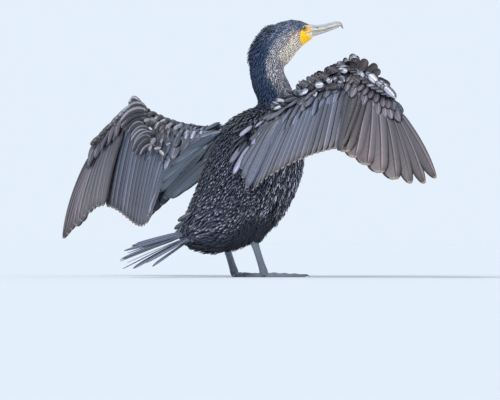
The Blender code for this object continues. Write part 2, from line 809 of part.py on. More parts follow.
def face_details(head):
    """The lids round each eye and the line of the mouth behind the bill."""
    base, forward, left, up = bill_frame()
    lids = []
    for side in (1, -1):
        rings = []
        for k in range(LID_POINTS):
            angle = 2 * math.pi * k / LID_POINTS
            outward = forward * math.cos(angle) + up * math.sin(angle)
            centre = eye_centre(side) + outward * (EYE_RADIUS * LID_TUCK) + left * (side * LID_PROUD)
            rings.append(ring(centre, outward, left, LID_RADIUS, LID_RADIUS, 6))
        lids.append(hoop("lid", rings, "plumage"))
    join_pieces(head, lids)
    for side in (1, -1):
        back = base - forward * (MOUTH_CORNER / 2 - 0.001) + left * (side * GAPE_SIDE)
        way = (forward - up * GAPE_FALL - left * (side * GAPE_TURN)).normalized()
        across = up.cross(way).normalized()
        slit = box_piece(back, (way, across, way.cross(across)), (MOUTH_CORNER, GAPE_DEPTH, MOUTH_SLIT))
        boolean(head, "DIFFERENCE", "MANIFOLD", cutter=slit)
        bpy.data.objects.remove(slit)
    keep_largest(head)


def hoop(name, rings, slot):
    """A closed ring-shaped solid through rings of equal count."""
    count = len(rings[0])
    points = [p for r in rings for p in r]
    faces = []
    for i in range(len(rings)):
        j = (i + 1) % len(rings)
        for k in range(count):
            m = (k + 1) % count
            faces.append((i * count + k, i * count + m, j * count + m, j * count + k))
    return solid(name, points, faces, slot, smooth=True)


def eye_nodes(head):
    for name, side in (("left", 1), ("right", -1)):
        ball = bmesh.new()
        bmesh.ops.create_uvsphere(ball, u_segments=12, v_segments=8, radius=EYE_RADIUS)
        bmesh.ops.translate(ball, verts=ball.verts, vec=eye_centre(side))
        mesh = bpy.data.meshes.new("eye_" + name)
        ball.to_mesh(mesh)
        ball.free()
        mesh.shade_smooth()
        eye = add_object("eye_" + name, mesh, "eye")
        cut_clear(head, eye)


def tail_node(torso):
    across = Vector((1, 0, 0)) - TAIL_HEADING * TAIL_HEADING.x
    across.normalize()
    face = across.cross(TAIL_HEADING) * -1
    if face.z < 0:
        face = -face
    core_rings = []
    for t, half_width, thick in TAIL_CORE:
        core_rings.append(ring(TAIL_ROOT + TAIL_HEADING * t, across, face, half_width, thick, 12))
    tail = loft("tail", core_rings, "plumage")
    pieces = []
    half = TAIL_FEATHERS // 2
    for side in (1, -1):
        roots, directions, lengths = [], [], []
        for n in range(half):
            share = (n + 0.5) / half
            angle = share * TAIL_SPREAD / 2 * side
            roots.append(TAIL_ROOT + across * (side * share * TAIL_ROOT_SPREAD)
                         + face * (0.0012 if side > 0 else -0.0004))
            directions.append(TAIL_HEADING * math.cos(angle) + across * math.sin(angle))
            lengths.append(TAIL_LENGTH * (1 - TAIL_TAPER * share ** 1.5))
        fan = Fan(roots, directions, lengths, TAIL_DROOP, face)
        pieces += fan.vanes(TAIL_WIDTH, SHORT_STEPS, "flight_feather", COVERT_LIFT)
    join_pieces(tail, pieces)
    cut_clear(tail, torso)
    return tail


# Legs

def shank_node(name, side, torso):
    """The leg from its thigh in the body feathers down to the foot."""
    mirror = Matrix.Scale(-1, 4, (1, 0, 0)) if side < 0 else Matrix.Identity(4)
    heel, base, top = (mirror @ p for p in (HEEL, TOE_BASE, THIGH_TOP))
    ankle = base + ANKLE_RISE
    along = (ankle - heel).normalized()
    side_way = Vector((1, 0, 0))
    depth_way = along.cross(side_way).normalized()
    rings = []
    for t, wide, deep in SHANK_SECTIONS:
        centre = lerp(heel, ankle, t)
        rings.append(ring(centre, side_way, depth_way, wide, deep, 12))
    shank = loft("shank_" + name, rings, "leg_skin")
    thigh_rings = []
    for t, wide, deep in THIGH_SECTIONS:
        centre = lerp(top, heel, t)
        thigh_rings.append(ring(centre, side_way, Vector((0, 1, 0)), wide, deep, 16))
    thigh = loft("thigh_" + name, thigh_rings, "plumage")
    cut_clear(thigh, torso)
    cut_clear(shank, thigh)
    return shank


def toe_rings(start, direction, length, radius):
    """A toe with a flat sole on the floor, thicker at its joints, ending in its claw."""
    across = Vector((-direction.y, direction.x, 0))
    up = Vector((0, 0, 1))
    rings = []
    for t, size in TOE_SECTIONS:
        centre = start + direction * (length * t)
        half = radius * size
        points = []
        for k in range(5):
            angle = math.pi * k / 4
            points.append(centre + across * (math.cos(angle) * half)
                          + up * (0.0004 + half * (0.35 + 1.45 * math.sin(angle))))
        points.append(centre - across * (half * 0.75))
        points.append(centre + across * (half * 0.75))
        rings.append(points)
    return rings


def foot_node(name, side):
    mirror = Matrix.Scale(-1, 4, (1, 0, 0)) if side < 0 else Matrix.Identity(4)
    base = mirror @ TOE_BASE
    directions = []
    for angle in TOE_HEADINGS:
        turn = math.radians(angle)
        directions.append(Vector((math.sin(turn) * side, -math.cos(turn), 0)))
    pad_rings = []
    for z, wide, deep in PAD_SECTIONS:
        centre = base + ANKLE_RISE * (z / PAD_SECTIONS[-1][0])
        centre.z = z
        pad_rings.append(ring(centre, Vector((1, 0, 0)), Vector((0, 1, 0)), wide, deep, 12))
    foot = loft("foot_" + name, pad_rings, "leg_skin")
    pieces = []
    for toe, direction, length in zip(TOE_NAMES, directions, TOE_LENGTHS):
        pieces.append(loft("toe_" + toe, toe_rings(base, direction, length, TOE_RADIUS),
                           "leg_skin"))
    for n in range(3):
        pieces.append(web_piece(base, directions[n], TOE_LENGTHS[n], directions[n + 1],
                                TOE_LENGTHS[n + 1]))
    join_pieces(foot, pieces)
    return foot


def web_piece(base, way_a, length_a, way_b, length_b):
    """The skin between two toes, with a hollow front edge."""
    rim = []
    for k in range(WEB_STEPS + 1):
        t = k / WEB_STEPS
        straight = lerp(way_a * length_a, way_b * length_b, t) * WEB_REACH
        pull = 1 - (1 - WEB_SAG) * math.sin(math.pi * t)
        rim.append(base + straight * pull)
    outline = [base] + rim
    points = [p + Vector((0, 0, WEB_BOTTOM)) for p in outline]
    points += [p + Vector((0, 0, WEB_TOP)) for p in outline]
    count = len(outline)
    faces = []
    for k in range(1, count - 1):
        faces.append((0, k, k + 1))
        faces.append((count, count + k + 1, count + k))
    for k in range(count):
        j = (k + 1) % count
        faces.append((k, j, j + count, k + count))
    return solid("web", points, faces, "leg_skin")


def main():
    clear_scene()
    torso = torso_node()
    neck = neck_node()
    head = head_node()
    face_details(head)
    bill_nodes(head)
    eye_nodes(head)
    tail_node(torso)
    for name, pose in (("left", LEFT_WING), ("right", RIGHT_WING)):
        arm, hand = wing_nodes(name, pose)
        cut_clear(arm, torso)
        cut_clear(arm, neck)
        cut_clear(hand, arm)
    for name, side in (("left", 1), ("right", -1)):
        shank = shank_node(name, side, torso)
        cut_clear(shank, foot_node(name, side))


main()
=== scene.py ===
# Great cormorant drying its wings: skin, feathers, head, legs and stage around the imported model.
# Metres, +Z up. The bird faces -Y and its left side is +X. It stands on z = 0.

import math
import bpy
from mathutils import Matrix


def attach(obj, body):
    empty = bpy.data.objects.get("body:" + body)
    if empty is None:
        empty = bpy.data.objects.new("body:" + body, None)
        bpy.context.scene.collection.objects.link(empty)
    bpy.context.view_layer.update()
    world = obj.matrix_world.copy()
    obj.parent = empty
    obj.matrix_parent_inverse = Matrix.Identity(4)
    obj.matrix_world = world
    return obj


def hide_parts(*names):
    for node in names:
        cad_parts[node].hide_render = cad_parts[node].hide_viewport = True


bl_info = {
    "name": "Drying Cormorant",
    "version": (1, 0, 0),
    "blender": (4, 5, 0),
    "location": "View3D > Sidebar > Cormorant",
    "description": "Skin, feathers, bill, legs and stage of a life-size great cormorant",
    "category": "Object",
}

import bmesh
import bpy
import numpy as np
from bpy.props import FloatProperty, FloatVectorProperty, PointerProperty
from mathutils import Vector
from mathutils.bvhtree import BVHTree
from mathutils.kdtree import KDTree

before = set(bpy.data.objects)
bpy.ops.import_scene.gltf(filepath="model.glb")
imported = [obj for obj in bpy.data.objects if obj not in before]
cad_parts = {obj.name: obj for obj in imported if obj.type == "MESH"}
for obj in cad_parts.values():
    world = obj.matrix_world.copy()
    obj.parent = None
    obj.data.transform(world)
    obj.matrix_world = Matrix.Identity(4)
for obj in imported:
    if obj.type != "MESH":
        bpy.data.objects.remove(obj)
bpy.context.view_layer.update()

# The camera of the photograph
VIEW_TURN = math.radians(50)      # how far the camera stands round from the bird's right side
VIEW_DISTANCE = 20.0
VIEW_HEIGHT = 0.154
VIEW_WIDTH = 1.0                  # what the frame spans at the bird
NEAR = np.array((-math.sin(VIEW_TURN), math.cos(VIEW_TURN), 0.0))
RIGHT = np.array((-math.cos(VIEW_TURN), -math.sin(VIEW_TURN), 0.0))

# The body's middle line from the tail to the bill: x, y, z, then how long and how broad the
# small feathers are there, and how deep the coat is
SPINE = np.array([
    (0, 0.166, 0.085, 0.02, 0.0066, 0.0034), (0, 0.121, 0.095, 0.018, 0.0062, 0.004),
    (0, 0.087, 0.112, 0.0155, 0.0056, 0.0042), (0, 0.049, 0.14, 0.0135, 0.005, 0.0042),
    (0, 0.016, 0.174, 0.0125, 0.0048, 0.0042), (0, -0.006, 0.209, 0.0125, 0.0048, 0.004),
    (0, -0.027, 0.244, 0.0125, 0.0048, 0.0038), (0, -0.044, 0.276, 0.012, 0.0047, 0.0036),
    (0, -0.06, 0.304, 0.0115, 0.0045, 0.0034), (0, -0.069, 0.328, 0.011, 0.0042, 0.003),
    (0, -0.071, 0.347, 0.011, 0.0044, 0.0028), (0.0003, -0.064, 0.368, 0.01, 0.0038, 0.0026),
    (0.0018, -0.0511, 0.391, 0.0092, 0.0034, 0.0024),
    (0.0031, -0.0452, 0.414, 0.0088, 0.0032, 0.0022),
    (0.0024, -0.0471, 0.435, 0.0084, 0.003, 0.002),
    (-0.0027, -0.058, 0.453, 0.0076, 0.0028, 0.0018),
    (-0.0094, -0.0703, 0.469, 0.0066, 0.0025, 0.0016),
    (-0.0174, -0.0841, 0.48, 0.0056, 0.0022, 0.0013),
    (-0.0254, -0.098, 0.487, 0.0048, 0.002, 0.001),
    (-0.0319, -0.1093, 0.4895, 0.004, 0.0017, 0.0007),
    (-0.0409, -0.1248, 0.4925, 0.0032, 0.0014, 0.0004),
])
HEAD_YAW = math.radians(30)
BILL_BASE = np.array((-0.0409, -0.1248, 0.4925))
HEAD_FORWARD = np.array((-math.sin(HEAD_YAW), -math.cos(HEAD_YAW), 0.0))
HEAD_LEFT = np.array((math.cos(HEAD_YAW), -math.sin(HEAD_YAW), 0.0))
UP = np.array((0.0, 0.0, 1.0))
SENSOR = 36.0                     # the camera's width in millimetres
FLOOR_RADIUS = 14.0
SKY = (0.78, 0.87, 0.97, 1)
MIDDLE = np.array((0.0, 0.02, 0.26))    # of the bird, where the lamps point
# Name, way the light goes, how soft in degrees, power
LAMPS = (("key", RIGHT * 0.55 - NEAR * 0.75 - UP * 0.85, 22.0, 2.3),
         ("fill", RIGHT * -0.7 - NEAR * 0.8 - UP * 0.25, 50.0, 0.55))
EYES = {"left": np.array((-0.0169, -0.1184, 0.4985)), "right": np.array((-0.0473, -0.1009, 0.4985))}
EYE_RADIUS = 0.0058
LID_OPENING = 0.0042

# Edge of the bare face: height above the floor, and how far forward of the bill's base it lies
BARE_EDGE = np.array([(0.4600, -0.0160), (0.4648, -0.0197), (0.4720, -0.0238), (0.4790, -0.0264),
                      (0.4920, -0.0246), (0.4985, -0.0205), (0.5050, -0.0170)])
BARE_TOP = 0.5046
FACE_FLOOR = 0.455                # nothing of the face lies lower
# How far behind the bill's base, or from the eyes, each round of finer mesh reaches
FACE_ROUNDS = ((0.034, False), (0.028, False), (0.011, True))

# The bill: distance from its base, culmen, line of the mouth, lower edge, half width
BILL = np.array([
    (-0.0040, 0.0136, -0.0016, -0.0128, 0.0112), (0.0000, 0.0138, -0.0012, -0.0123, 0.0112),
    (0.0120, 0.0123, -0.0005, -0.0083, 0.0096), (0.0260, 0.0143, 0.0020, -0.0043, 0.0080),
    (0.0380, 0.0176, 0.0058, 0.0002, 0.0068), (0.0500, 0.0206, 0.0098, 0.0047, 0.0059),
    (0.0580, 0.0198, 0.0112, 0.0079, 0.0049),
])
# The hook beyond it: distance, culmen, tip, half width
HOOK = np.array([
    (0.0580, 0.0198, 0.0112, 0.0049), (0.0612, 0.0180, 0.0098, 0.0042),
    (0.0640, 0.0140, 0.0070, 0.0031), (0.0655, 0.0096, 0.0050, 0.0019),
    (0.0660, 0.0062, 0.0038, 0.0008),
])

THIGH_TOP = np.array((0.050, -0.004, 0.165))
HEEL = np.array((0.046, 0.028, 0.072))
TOE_BASE = np.array((0.046, 0.001, 0.0))
ANKLE = np.array((0.046, 0.003, 0.011))
# Shank sections from heel to ankle: share, half width, half depth
SHANK = np.array([(-0.08, 0.0062, 0.0088), (0.00, 0.0067, 0.0098), (0.10, 0.0062, 0.0088),
                  (0.25, 0.0055, 0.0080), (0.50, 0.0052, 0.0077), (0.78, 0.0055, 0.0080),
                  (0.92, 0.0063, 0.0088), (1.00, 0.0067, 0.0092), (1.10, 0.0062, 0.0086)])
TOES = (("outer", 0.098, 20, 4), ("middle", 0.088, -4, 3),
        ("inner", 0.064, -34, 2), ("hind", 0.044, -125, 1))
TOE_RADIUS = 0.0048
CLAW_SHARE = 0.12                 # the last part of a toe's length, which is claw
WEB_REACH, WEB_SAG = 0.86, 0.80
WEB_LOW, WEB_HIGH = 0.0007, 0.0021

RIGHT_WING = {
    "side": -1,
    "shoulder": (-0.060, -0.008, 0.292),
    "elbow": (-0.169, 0.062, 0.312),
    "wrist": (-0.295, -0.014, 0.406),
    "finger": (-0.380, -0.046, 0.344),
    "edge": ((-0.054, -0.034, 0.332), (-0.180, -0.026, 0.384), (-0.300, -0.024, 0.414)),
    "tertials": ((0, (0.066, 0.070, -0.088), 0.084), (2, (0.056, 0.068, -0.116), 0.120),
                 (4, (0.034, 0.064, -0.140), 0.158)),
    "secondaries": ((0, (0.012, 0.078, -0.136), 0.162), (3, (-0.018, 0.096, -0.128), 0.165),
                    (8, (-0.040, 0.098, -0.124), 0.168), (12, (-0.050, 0.094, -0.130), 0.171),
                    (15, (-0.054, 0.088, -0.142), 0.175)),
    "primaries": ((0, (-0.063, 0.094, -0.143), 0.182), (3, (-0.075, 0.104, -0.143), 0.192),
                  (5, (-0.112, 0.094, -0.142), 0.205), (7, (-0.143, 0.059, -0.168), 0.229),
                  (9, (-0.180, 0.049, -0.136), 0.231)),
    "bow": (-0.030, -0.010, 0.020),
    "ruffle": (62, 62),
    "grow": (1.0, 1.0),
    "stop": 1.02,
    "sweep": 0.0,
}
LEFT_WING = {
    "side": 1,
    "shoulder": (0.062, -0.006, 0.272),
    "elbow": (0.176, 0.040, 0.250),
    "wrist": (0.325, 0.052, 0.332),
    "finger": (0.412, 0.056, 0.268),
    "edge": ((0.052, -0.040, 0.306), (0.186, 0.000, 0.280), (0.310, 0.040, 0.352)),
    "tertials": ((0, (-0.024, 0.072, -0.076), 0.118), (2, (0.004, 0.068, -0.104), 0.138),
                 (4, (0.014, 0.062, -0.122), 0.156)),
    "secondaries": ((0, (-0.037, 0.094, -0.110), 0.149), (4, (-0.001, 0.058, -0.168), 0.176),
                    (8, (0.016, 0.041, -0.179), 0.184), (12, (0.028, 0.030, -0.181), 0.185),
                    (15, (0.040, 0.029, -0.186), 0.189)),
    "primaries": ((0, (0.042, 0.031, -0.179), 0.188), (3, (0.094, -0.001, -0.171), 0.196),
                  (5, (0.125, -0.016, -0.168), 0.212), (7, (0.153, -0.030, -0.182), 0.240),
                  (9, (0.168, -0.034, -0.186), 0.250)),
    "bow": (0.040, 0.000, 0.020),
    "ruffle": (8, 16),
    "grow": (0.60, 0.80),
    "stop": 0.88,
    "sweep": 0.5,
}
PRIMARIES, SECONDARIES, TERTIALS = 10, 16, 5
ELBOW_SHARE = 0.45
ARM_THICK = (0.017, 0.0085)
ARM_STATIONS = (-0.06, 0.06, 0.20, 0.34, 0.45, 0.56, 0.70, 0.84, 0.94, 1.0)
WRIST_HALF = (0.013, 0.0085)
HAND_SECTIONS = ((0.0, 0.013, 0.0085), (0.35, 0.012, 0.0075), (0.75, 0.009, 0.0055),
                 (1.06, 0.004, 0.0030))
# Rows of coverts on an arm: how many, place from edge 0 to bone 1, length, width, degrees
# raised, share of the ruffle added, first and last place along the arm
COVERT_ROWS = (
    (14, 0.95, 0.070, 0.028, 3, 0.03, 0.20, 0.98),
    (13, 0.78, 0.052, 0.028, 5, 0.08, 0.18, 0.97),
    (14, 0.62, 0.038, 0.025, 8, 0.30, 0.18, 0.97),
    (14, 0.50, 0.032, 0.023, 10, 0.85, 0.16, 0.98),
    (13, 0.38, 0.029, 0.022, 10, 1.20, 0.14, 0.99),
    (13, 0.27, 0.030, 0.022, 10, 1.65, 0.12, 1.00),
    (13, 0.16, 0.031, 0.021, 10, 2.00, 0.10, 1.01),
    (14, 0.07, 0.031, 0.020, 10, 2.20, 0.10, 1.02),
)
# The same under the arm, where only the degrees raised count
UNDER_ROWS = (
    (18, 0.90, 0.058, 0.020, 3), (19, 0.72, 0.042, 0.018, 4), (20, 0.54, 0.030, 0.017, 5),
    (22, 0.36, 0.024, 0.016, 6), (24, 0.18, 0.019, 0.014, 6),
)
# Rows on the hand, placed in metres before the bone
HAND_ROWS = ((10, -0.001, 0.058, 0.021, 5, 0.03), (10, 0.004, 0.038, 0.018, 8, 0.20),
             (10, 0.009, 0.028, 0.016, 12, 0.80), (10, 0.013, 0.026, 0.015, 14, 1.70),
             (10, 0.015, 0.024, 0.014, 14, 2.10))
ALULA = (0.048, 0.042, 0.034, 0.028)    # lengths of the thumb's feathers
# Long loose feathers between back and elbow, by side: root, direction, length, width
SCAPULARS = {
    -1: (((-0.052, 0.030, 0.292), (0.50, 0.50, -0.42), 0.050, 0.015),
         ((-0.060, 0.040, 0.280), (0.48, 0.50, -0.55), 0.056, 0.016),
         ((-0.068, 0.052, 0.268), (0.40, 0.50, -0.66), 0.064, 0.017),
         ((-0.080, 0.058, 0.262), (0.30, 0.46, -0.76), 0.070, 0.017),
         ((-0.094, 0.062, 0.262), (0.20, 0.42, -0.84), 0.072, 0.017)),
    1: (((0.046, 0.030, 0.296), (0.50, 0.42, -0.42), 0.066, 0.016),
        ((0.052, 0.038, 0.284), (0.46, 0.44, -0.55), 0.076, 0.018),
        ((0.062, 0.044, 0.272), (0.42, 0.46, -0.66), 0.090, 0.019),
        ((0.078, 0.044, 0.266), (0.36, 0.46, -0.76), 0.100, 0.020),
        ((0.096, 0.044, 0.262), (0.30, 0.44, -0.84), 0.104, 0.020)),
}
# The layers they lie in: share of the length, height over the wing, share of the colour
SCAPULAR_LAYERS = ((1.0, 0.010, 1.0), (0.72, 0.016, 0.62), (0.50, 0.021, 0.42))
# Single loose feathers over the others, in the plane of the photo, in millimetres: root across,
# up and near, tip across, up and near, width, then how pale where the row says so
LOOSE_FEATHERS = {
    -1: (
        (4.6, 301.8, 86, -20.8, 281.4, 90, 10, 1.2), (26, 312, 92, 12, 300, 98, 6.4, 1.3),
        (-6.6, 271.2, 114, -39.2, 228.2, 118, 12.2, 0.85),
        (-2.4, 261, 126, -33, 205.8, 130, 13, 0.9), (1.6, 246.6, 136, -10.6, 214, 132, 9, 0.8),
        (9.8, 275.2, 136, 3.6, 256.8, 130, 9.5, 1.3), (12, 264, 142, 1, 223, 138, 7, 0.55),
        (16, 248, 132, -12.6, 167, 130, 5.6, 0.32), (18, 228.2, 134, 9.8, 177.2, 134, 12, 0.45),
        (20, 290, 126, 11, 260, 132, 8, 0.7),
    ),
    1: (
        (-58, 292, 26, -156, 222, -10, 19, 0.6), (-70, 276, 22, -182, 188, -22, 20, 0.48),
        (-80, 266, 20, -184, 168, -26, 20, 0.54), (-88, 252, 16, -174, 156, -26, 20, 0.44),
        (-58, 290, 34, -100, 278, 12, 13, 0.66), (-64, 270, 32, -96, 220, 10, 17, 0.42),
        (-60, 262, 36, -84, 232, 20, 16, 0.36), (-52, 284, 38, -80, 250, 22, 15, 0.32),
        (-66, 286, 30, -140, 242, -6, 16, 0.56), (-80, 240, 22, -172, 154, -16, 19, 0.34),
        (-76, 232, 26, -160, 156, -10, 18, 0.46), (-70, 226, 30, -142, 168, -2, 16, 0.36),
    ),
}
# The same for short feathers that jut over the root of the tail
RUMP_FEATHERS = (
    (-113, 130, 94, -144, 112, 92, 10, 0.05), (-118, 118, 92, -151, 96, 90, 10, 0.06),
    (-116, 110, 96, -150, 86, 94, 10, 0.1), (-104, 122, 98, -134, 102, 96, 9.5, 0.16),
    (-106, 108, 102, -138, 84, 100, 9.5, 0.22), (-96, 114, 104, -124, 94, 102, 9, 0.4),
    (-92, 102, 108, -122, 80, 106, 9, 0.24), (-86, 108, 108, -112, 90, 106, 8, 0.5),
    (-80, 96, 112, -106, 78, 110, 8.5, 0.3), (-76, 104, 112, -98, 88, 110, 7.5, 0.45),
)
# The same for the big lifted feathers on the right arm: dark tops, and pale undersides whose silver
# is partly painted sheen
RUFFLE_PALE_SHEEN = (
    (115, 372, 189, 94, 364, 162, 13), (133, 366, 213, 112, 356, 186, 14),
    (145, 383, 227, 127, 380, 205, 15), (162, 392, 233, 150, 389, 220, 14),
    (187, 389, 244, 161, 399, 214, 19), (184, 382, 244, 164, 373, 221, 16),
    (192, 408, 247, 175, 413, 228, 12), (221, 408, 242, 215, 390, 244, 17),
    (221, 389, 242, 231, 376, 251, 13), (235, 402, 248, 250, 387, 259, 16),
)
RUFFLE_DARK = (
    (125, 375, 192, 97, 389, 157, 16), (140, 387, 212, 116, 398, 181, 15),
    (163, 390, 225, 135, 403, 191, 17), (179, 402, 231, 156, 416, 205, 16),
    (197, 410, 238, 175, 425, 213, 16), (207, 408, 223, 207, 435, 227, 19),
    (218, 408, 231, 229, 432, 240, 19), (231, 406, 237, 250, 421, 249, 17),
    (238, 402, 240, 257, 409, 252, 15), (151, 377, 218, 170, 380, 244, 13),
    (200, 398, 240, 215, 387, 258, 16), (249, 394, 244, 276, 379, 253, 16),
)
# The same for the long curved coverts before the left wrist, and pale chips below them
COMB_DARK = (
    (-208, 338, -132, -252, 333, -175, 10), (-206, 331, -130, -265, 307, -175, 11),
    (-206, 324, -132, -262, 298, -175, 11), (-211, 315, -137, -255, 291, -175, 10),
    (-214, 305, -140, -247, 287, -173, 10), (-204, 296, -130, -242, 277, -169, 10),
    (-203, 291, -129, -242, 268, -168, 10), (-193, 285, -118, -237, 261, -163, 10),
    (-200, 279, -125, -239, 250, -165, 10), (-194, 273, -120, -232, 243, -158, 9),
    (-191, 261, -116, -223, 241, -149, 8), (-223, 350, -149, -241, 356, -167, 8),
    (-219, 349, -145, -247, 347, -174, 8),
)
COMB_PALE = (
    (-201, 317, -111, -214, 313, -124, 8), (-191, 279, -100, -198, 266, -108, 11),
    (-175, 277, -84, -180, 268, -90, 8), (-198, 264, -108, -203, 253, -113, 8),
    (-182, 254, -91, -173, 244, -82, 8), (-196, 295, -106, -204, 300, -114, 6),
    (-178, 259, -88, -194, 257, -104, 7), (-159, 268, -68, -169, 264, -79, 7),
)
# Dark feathers over the gap between the left wing and the back, with their upper sides up
GAP_COVER = (
    (-46, 262, -46, -124, 240, -60, 18), (-44, 262, -32, -122, 238, -44, 18),
    (-44, 260, -18, -120, 234, -28, 18), (-46, 256, -4, -118, 230, -12, 17),
)

TAIL_ROOT = np.array((0.000, 0.158, 0.084))
TAIL_HEADING = np.array((0.17, 0.93, -0.33)) / np.linalg.norm((0.17, 0.93, -0.33))
TAIL_FEATHERS = 14
TAIL_LENGTH = 0.165
TAIL_SPREAD = math.radians(30)
TAIL_ROLL = math.radians(24)
TAIL_WIDTH = 0.0080

# Pale silver: partly the real paleness of lifted coverts' undersides and partly painted sheen. It
# is also laid on some upper sides.
SILVER_SHEEN = np.array((0.62, 0.63, 0.70))    # the pale undersides of lifted coverts
BAKE_PATCH = 0.003                # how big a tuft's patch is on the skin's unwrap
ARCH_POINTS = 22                  # round a half bill's outside
BASE_POINTS = 6                   # along its flat side
GROOVE_HEIGHT = 0.62              # where the long groove runs, as a share of the upper half
MOUTH_GAP = 0.00025               # from the line of the mouth to each half
FLESH_OVERLAP = 0.0004            # how far the solids of flesh swell, so that they grow together
ROOT_TRIES = 5.0                  # places tried for each small feather that is kept
# Name, noise scale, dark and light colour, roughness
# The first is the claws' dark horn, which also gives the nostril slits their painted shade.
CLAW_HORN_AND_NOSTRIL_SHADE = ("claw_horn_and_nostril_shade", 500.0, (0.010, 0.010, 0.012, 1), (0.055, 0.050, 0.048, 1), 0.28)
PALE_FLOOR = ("pale_floor", 30.0, (0.572, 0.598, 0.632, 1), (0.586, 0.612, 0.646, 1), 0.9)
FLESH_NODES = ("torso", "neck", "head", "thigh_left", "thigh_right")
made = {}                         # what one operator leaves for the next


# Sizes and colours that a user may change

class CormorantSizes(bpy.types.PropertyGroup):
    voxel: FloatProperty(name="Skin Voxel", description="Grain of the skin's mesh",
                         default=0.0026, unit="LENGTH")
    spacing: FloatProperty(name="Feather Spacing", description="Gap between small feathers, as a "
                           "share of their width", default=0.62, min=0.4, max=2.0)
    lift: FloatProperty(name="Coat Lift", description="How far a small feather's tip stands off, "
                        "as a share of the coat's depth", default=0.95, min=0.0, max=2.0)
    barb_relief: FloatProperty(name="Barb Relief", description="Depth of the barbs' bump",
                               default=0.00025, unit="LENGTH")


class CormorantColours(bpy.types.PropertyGroup):
    plumage: FloatVectorProperty(name="Body Plumage", description="Blue-black of the body",
                                 subtype="COLOR", default=(0.013, 0.021, 0.046))
    bronze: FloatVectorProperty(name="Bronze", description="Small feathers of mantle and arms",
                                subtype="COLOR", default=(0.105, 0.100, 0.115))
    slate: FloatVectorProperty(name="Slate", description="Secondaries and tail",
                               subtype="COLOR", default=(0.125, 0.145, 0.205))
    umber: FloatVectorProperty(name="Umber", description="Worn primaries",
                               subtype="COLOR", default=(0.205, 0.150, 0.145))
    nape: FloatVectorProperty(name="Nape Gloss", description="Blue strip down the back of the neck",
                              subtype="COLOR", default=(0.013, 0.044, 0.115))
    pale: FloatVectorProperty(name="Pale Filoplumes", description="Grey-white of neck and cheek",
                              subtype="COLOR", default=(0.600, 0.580, 0.600))
    gape: FloatVectorProperty(name="Gape", description="Yellow bare skin of the face",
                              subtype="COLOR", default=(1.000, 0.620, 0.008))
    horn: FloatVectorProperty(name="Bill Horn", description="Silver-grey of the bill",
                              subtype="COLOR", default=(0.470, 0.480, 0.500))
    iris: FloatVectorProperty(name="Iris", description="Emerald of the eye",
                              subtype="COLOR", default=(0.010, 0.260, 0.250))
    leg: FloatVectorProperty(name="Leg", description="Charcoal skin of legs and webs",
                             subtype="COLOR", default=(0.170, 0.200, 0.250))


# Small helpers

def unit(v):
    return v / np.maximum(np.linalg.norm(v, axis=-1, keepdims=True), 1e-12)


def lerp(a, b, t):
    return a + (b - a) * t


def blend(base, other, share):
    """Rows turned to another row by a share of their own."""
    return lerp(base, np.asarray(other), share[:, None])


def smoothstep(low, high, x):
    t = np.clip((np.asarray(x) - low) / (high - low), 0, 1)
    return t * t * (3 - 2 * t)


def shade_of(scene_colour):
    return np.array(scene_colour[:])


def ripple(points, scale, seed):
    """Smooth cheap noise from -1 to 1, made of a few crossing waves."""
    turn = np.random.default_rng(seed)
    total = np.zeros(points.shape[:-1])
    for _ in range(5):
        wave = unit(turn.normal(size=3)) * scale * turn.uniform(0.7, 1.5)
        total += np.sin(points @ wave + turn.uniform(0, 6.28))
    return total / 3.2


def link(made_object):
    bpy.context.scene.collection.objects.link(made_object)
    return made_object


def quads_mesh(name, points, quads, maps=(), tint=None):
    """A mesh from arrays. maps are (name, one uv for each point), tint one colour for each."""
    mesh = bpy.data.meshes.new(name)
    mesh.vertices.add(len(points))
    mesh.vertices.foreach_set("co", np.asarray(points, np.float32).ravel())
    mesh.loops.add(quads.size)
    mesh.loops.foreach_set("vertex_index", quads.astype(np.int32).ravel())
    mesh.polygons.add(len(quads))
    starts = np.arange(0, quads.size, quads.shape[1], dtype=np.int32)
    mesh.polygons.foreach_set("loop_start", starts)
    for map_name, uv in maps:
        layer = mesh.uv_layers.new(name=map_name)
        layer.data.foreach_set("uv", np.asarray(uv, np.float32)[quads.ravel()].ravel())
    mesh.update(calc_edges=True)
    if tint is not None:
        set_tint(mesh, tint)
    mesh.shade_smooth()
    return mesh


def set_tint(mesh, tint):
    layer = mesh.color_attributes.new("Tint", "FLOAT_COLOR", "POINT")
    colours = np.ones((len(tint), 4), np.float32)
    colours[:, :3] = np.clip(tint, 0.002, 1.0)
    layer.data.foreach_set("color", colours.ravel())


def add_piece(name, mesh, material, replaced=()):
    """Puts a finished mesh in the scene as a piece that rides on the one body."""
    piece = link(bpy.data.objects.new(name, mesh))
    if material:
        mesh.materials.append(material)
    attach(piece, "root")
    if replaced:
        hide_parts(*replaced)
    return piece


# Materials

def new_material(name):
    material = bpy.data.materials.new(name)
    material.use_nodes = True
    return material, material.node_tree, material.node_tree.nodes["Principled BSDF"]


def node(tree, kind, settings=None, **inputs):
    """Adds a node. Inputs are given by socket name, as a value or as another node's socket."""
    added = tree.nodes.new("ShaderNode" + kind)
    for key, value in (settings or {}).items():
        setattr(added, key, value)
    for key, value in inputs.items():
        plug(tree, added.inputs[int(key[1:]) if key[0] == "_" else key.replace("_", " ")], value)
    return added


def plug(tree, socket, value):
    if isinstance(value, bpy.types.NodeSocket):
        tree.links.new(value, socket)
    else:
        socket.default_value = value


def maths(tree, operation, a, b=0.0, c=0.0):
    return node(tree, "Math", {"operation": operation}, _0=a, _1=b, _2=c).outputs[0]


def ramp(tree, value, low, high, start=0.0, end=1.0):
    return node(tree, "MapRange", {"interpolation_type": "SMOOTHSTEP"}, Value=value, From_Min=low,
                From_Max=high, To_Min=start, To_Max=end).outputs[0]


